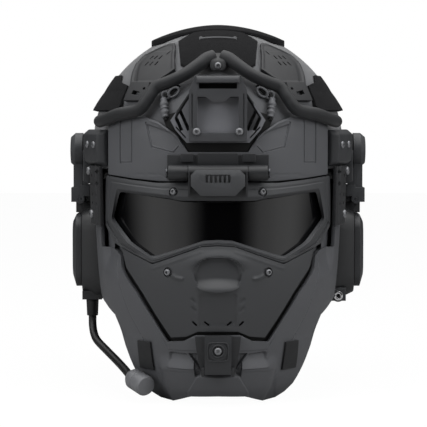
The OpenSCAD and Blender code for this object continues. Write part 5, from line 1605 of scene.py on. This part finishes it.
        # A raised ring round the screw, and a raised line round the latch
        ring = [(4.9 * math.cos(a), front - 0.1, EQ - LATCH_DROP + 4.9 * math.sin(a))
                for a in steps(0, 2 * math.pi, 40)]
        middle = EQ - (LATCH_DROP + 0.5)
        edge = [(8.2 * spow(math.cos(a), 0.35), front - 0.05, middle + 7.4 * spow(math.sin(a), 0.35))
                for a in (math.pi * (k + 0.5) / 40 for k in range(81))]
        latch = join("Chin latch", [latch, tube("ring", ring, 0.65, 12, (0, 1, 0)),
                                    tube("line", edge, 0.45, 10, (0, 1, 0))])
        settle(shade(latch, 40), "chin_latch", "latch", "shroud", "chin_latch")
        return {"FINISHED"}


class MakeRails(bpy.types.Operator):
    """Side rails, ear cup arms and their discs"""
    bl_idname = "helmet.rails"
    bl_label = "Rails and arms"

    def execute(self, context):
        # Drop and height across the rail, and across the block in front of it
        full, floor, low = 9.4, 9.4 - 3, 4.7
        profile = [(8, low), (10, full), (18, full), (19, floor), (24, floor), (25, full), (36, full),
                   (38, low)]
        front = [(-8.5, low), (-4.5, full), (7.5, full), (18.4, full - 1), (21.4, low)]

        def at(th, row, off):
            return rail_point(th, row[0], off)

        def bar_rise(th, row):
            # The groove stops short of the rail's front end
            return GAP + (row[1] if th > 81.5 or row[1] != floor else full)

        def head_rise(th, row):
            return GAP + row[1] * (0.45 if th < 58 else 1)

        bar = surface_wall("Bar", at, steps(78.6, 126, 60), profile, bar_rise, GAP)
        head = surface_wall("Head", at, [57, 59] + steps(60, 77.6, 20) + [79], front, head_rise, GAP)
        round_edges(bar, 0.5, angle=30)
        round_edges(head, 0.9, angle=25, segments=3)
        foot = block("foot", (4.9, 3.2, 7.5), None, (115.6, 0.8, EQ - 37.8))
        left = shade(join("Left rail", [bar, head, foot]), 35)
        right = shade(mirrored(left, "Right rail"), 35)
        settle(left, "helmet", "rail", "rail", "left_rail")
        settle(right, "helmet", "rail", "rail", "right_rail")
        for side, body in (("left", "left_arm"), ("right", "helmet")):
            name = side.capitalize() + " arm"
            arm = round_edges(node_copy(side + "_arm", name), 0.6, angle=30, segments=3)
            out = 1 if side == "left" else -1
            stay = block("stay", (7.7, 12, 6), None, (out * 112.3, PIVOT_Y, EQ - 52))
            arm = shade(join(name, [arm, stay]), 30)
            settle(arm, body, "arm", "rail", side + "_arm")
        return {"FINISHED"}


class MakeScrews(bpy.types.Operator):
    """Every screw head, set on its seat"""
    bl_idname = "helmet.screws"
    bl_label = "Screws"

    def execute(self, context):
        forward = (0, -1, 0)
        shroud = [((s * 17.2, -133.9, EQ + 7.6), forward, 3.2, 2.0) for s in (-1, 1)]
        shroud.append(((0, BOSS_FACE + 1.2, EQ + BOSS_SCREW), forward, 2.9, 2.0))
        fasteners("Shroud screws", shroud, "helmet")

        places = []
        for (x, drop), off in ((FRAME_SEAT, -1.7), (PLATE_SEAT, -2.1)):
            px, py, pz = on_face(x, drop, off)
            aim = normal_at(on_face, x, drop)
            places += [((s * px, py, pz), (s * aim.x, aim.y, aim.z), 2.9, 2.4) for s in (-1, 1)]
        fasteners("Face screws", places, "face_unit")

        fasteners("Latch screw", [((0, -153.9, EQ - LATCH_DROP), forward, 3.1, 1.8)], "chin_latch")

        def on_side(s, th, point, radius, height):
            a = math.radians(th)
            return ((point[0] * s, point[1], point[2]), (math.sin(a) * s, -math.cos(a), 0), radius, height)

        side = []
        for s in (-1, 1):
            side += [on_side(s, th, rail_point(th, drop, 10), 3.0, 1.6)
                     for th, drop in ((61.5, 4), (69, 4), (108, 14), (120, 14))]
            side += [on_side(s, th, face(th, drop, 6.5), 3.6, 2.2)
                     for th, drop in ((74.5, 26.5), (70.5, 62.5))]
        fasteners("Side screws", side, "helmet")
        return {"FINISHED"}


class MakeEarCups(bpy.types.Operator):
    """Ear cups, outer covers, audio socket, boom and microphone"""
    bl_idname = "helmet.ear_cups"
    bl_label = "Ear cups"

    def execute(self, context):
        for side in ("left", "right"):
            name, body = side.capitalize(), side + "_cup"
            from_cad(side + "_ear_cup", name + " ear cup", body, "cup", "cup", 0.8, angle=30, segments=3)
            from_cad(side + "_ear_cover", name + " ear cover", body, "cover", "cover", 0.6, angle=25,
                     segments=3)
        from_cad("audio_socket", "Audio socket", "left_cup", "rail", "small_plastic", 0.4)
        from_cad("socket_collar", "Socket collar", "left_cup", "nickel", "collar", 0.2)
        from_cad("boom_sleeve", "Boom sleeve", "right_cup", "boom", "cord", 0.4)

        route = [(-109.5, -8, -143), (-109.5, -8, -149), (-109.5, -8, -155), (-109.2, -11, -162),
                 (-107.6, -18, -168.6), (-104, -28, -173.8), (-95.6, -43, -180), (-84.5, -66, -187.2),
                 (-76.4, -87.6, -192.2), (-73.2, -98.6, -194.6)]
        path = spline([(x, y, EQ + z) for x, y, z in route], 12)
        boom = tube("Microphone boom", path, BOOM_R, 24, (0.55, -0.83, 0.05))
        round_edges(boom, 0)
        settle(boom, "boom", "boom", "cord", "mic_boom")
        from_cad("mic_capsule", "Microphone capsule", "boom", "capsule", "small_plastic", 0.7, angle=30,
                 segments=3)
        return {"FINISHED"}


class MakeCushions(bpy.types.Operator):
    """Ear cushions with their seams"""
    bl_idname = "helmet.cushions"
    bl_label = "Ear cushions"

    def execute(self, context):
        # Thickness and width of the ring, and width and height of the cup
        t, tube_w, cup_w, cup_h = 15.0, 15.0, 70.0, 82.0
        x_mid = CUP_IN - GAP - t / 2
        rings, sides = 200, 48
        seam = sizes().seam * TO_MM

        def spine(a):
            """The middle of the ring, as y and z."""
            return (PIVOT_Y + (cup_w / 2 - tube_w / 2) * spow(math.cos(a), 0.7),
                    CUP_Z + (cup_h / 2 - tube_w / 2) * spow(math.sin(a), 0.7))

        def out(a):
            return Vector((math.cos(a) * cup_h, math.sin(a) * cup_w)).normalized()

        loops = []
        for i in range(rings):
            a = 2 * math.pi * i / rings
            cy, cz = spine(a)
            o = out(a)
            loop = []
            for k in range(sides):
                b = 2 * math.pi * k / sides
                c, s = math.cos(b), math.sin(b)
                wrinkle = 0.22 * math.sin(a * 46 + 3 * math.sin(b * 2)) * max(0, -c) ** 2
                # One seam on the ear's side and a shallower one against the cup
                turn = math.degrees(b) % 360
                dent = (seam * math.exp(-((turn - 200) / 7) ** 2)
                        + seam * 0.8 * math.exp(-((turn - 20) / 7) ** 2))
                r = tube_w / 2 - 0.1 - dent + wrinkle
                across = (t / 2 - 0.1 - dent * 0.4) * spow(s, 0.75)
                loop.append((x_mid + across, cy + o.x * r * c, cz + o.y * r * c))
            loops.append(loop)
        left = loft("Left ear cushion", loops, closed=True)
        round_edges(left, 0, angle=80)
        right = mirrored(left, "Right ear cushion")
        right.data.shade_smooth()
        settle(left, "left_cup", "leather", "cushion", "left_ear_cushion")
        settle(right, "right_cup", "leather", "cushion", "right_ear_cushion")
        return {"FINISHED"}


# How thick a pad still is at its edge, as a share of its middle
EDGE_SHARE = 0.4


def pad_loft(name, at, us, ws):
    """A foam pad on the shell's inside: crowned, its sides drawn in, with a piped edge."""
    rows, cols = len(ws), len(us)

    def lift(i, j):
        a, b = abs(2 * i / (rows - 1) - 1), abs(2 * j / (cols - 1) - 1)
        edge = (1 - a ** 5) * (1 - b ** 5)
        piping = 0.5 * math.exp(-((max(a, b) - 0.86) / 0.035) ** 2)
        return PAD_T * (EDGE_SHARE + (1 - EDGE_SHARE) * max(0, edge) ** 0.35) - piping

    outer = [[at(u, w, 0) for u in us] for w in ws]
    inner = [[at(u, w, -lift(i, j)) for j, u in enumerate(us)] for i, w in enumerate(ws)]
    obj = wall(name, outer, inner)
    return round_edges(obj, 0.6, angle=50, segments=3)


class MakeLining(bpy.types.Operator):
    """Foam pads, head band and dial inside the shell"""
    bl_idname = "helmet.lining"
    bl_label = "Lining"

    def execute(self, context):
        def inside_shell(th, v, off):
            return dome(th, v, off - PAD_DEEP)

        pads = [("front_pad", "Front pad", -30, 30, 0.72, 1.5),
                ("rear_pad", "Rear pad", 152, 208, 0.66, 1.15)]
        for k, (th0, th1) in enumerate(((48, 82), (102, 136), (-82, -48), (-136, -102))):
            pads.append(("side_pads", f"Side pad {k + 1}", th0, th1, 0.66, 1.5))
        for node, name, th0, th1, v0, v1 in pads:
            pad = pad_loft(name, inside_shell, steps(th0, th1, 40), steps(v0, v1, 36))
            settle(pad, "helmet", "cloth", "foam", node)

        def width(y):
            return 46 * (1 - abs(y / 47.5) ** 3) ** (1 / 3)

        ys, us = steps(46, -46, 40), steps(-1, 1, 40)
        outer = [[on_crown(u * width(y), y, -SHELL_T - 0.45) for u in us] for y in ys]
        inner = []
        for y in ys:
            row = []
            for u in us:
                edge = (1 - abs(u) ** 6) * (1 - abs(y / 46) ** 6)
                quilt = 0.8 * (math.exp(-((u * width(y)) / 1.6) ** 2) + math.exp(-(y / 1.6) ** 2))
                sunken = 2.6 * (1 - max(0, edge) ** 0.4) + quilt * (1 if edge > 0.2 else 0)
                row.append((u * width(y) * 0.9, y * 0.9, sunken))
            inner.append(row)
        crown = round_edges(wall("Top pad", outer, inner), 0.6, angle=50, segments=3)
        settle(crown, "helmet", "cloth", "foam", "crown_pad")

        from_cad("head_band", "Head band", "helmet", "band", "band", 0.3, angle=35)
        from_cad("dial_housing", "Dial housing", "helmet", "band", "band", 0.4, angle=35)
        from_cad("dial_knob", "Dial knob", "dial", "band", "band", 0.4, angle=35)
        return {"FINISHED"}


PIECES = [MakeStage, MakeShell, MakeLoopPanels, MakeVentPanels, MakeBrow, MakeBumper, MakeShroud, MakeHinge,
          MakeVisor, MakeFacePlate, MakeJaw, MakeRails, MakeScrews, MakeEarCups, MakeCushions, MakeLining]


class HelmetPanel(bpy.types.Panel):
    """The helmet's pieces and their settings"""
    bl_idname = "VIEW3D_PT_helmet"
    bl_label = "Helmet"
    bl_space_type = "VIEW_3D"
    bl_region_type = "UI"
    bl_category = "Helmet"

    def draw(self, context):
        for group in (context.scene.helmet_look, context.scene.helmet_sizes, context.scene.helmet_stage):
            box = self.layout.box()
            for name in group.bl_rna.properties.keys():
                if name not in ("rna_type", "name"):
                    box.prop(group, name)
        for piece in PIECES:
            self.layout.operator(piece.bl_idname)


GROUPS = (("helmet_look", HelmetLook), ("helmet_sizes", HelmetSizes), ("helmet_stage", HelmetStage))


def register():
    for name, group in GROUPS:
        bpy.utils.register_class(group)
        setattr(bpy.types.Scene, name, PointerProperty(type=group))
    for piece in PIECES + [HelmetPanel]:
        bpy.utils.register_class(piece)


def unregister():
    for piece in reversed(PIECES + [HelmetPanel]):
        bpy.utils.unregister_class(piece)
    for name, group in reversed(GROUPS):
        delattr(bpy.types.Scene, name)
        bpy.utils.unregister_class(group)


def main():
    register()
    make_finishes(bpy.context.scene.helmet_look)
    for piece in PIECES:
        group, name = piece.bl_idname.split(".")
        if getattr(getattr(bpy.ops, group), name)() != {"FINISHED"}:
            raise RuntimeError(piece.bl_label)


if __name__ == "__main__":
    main()
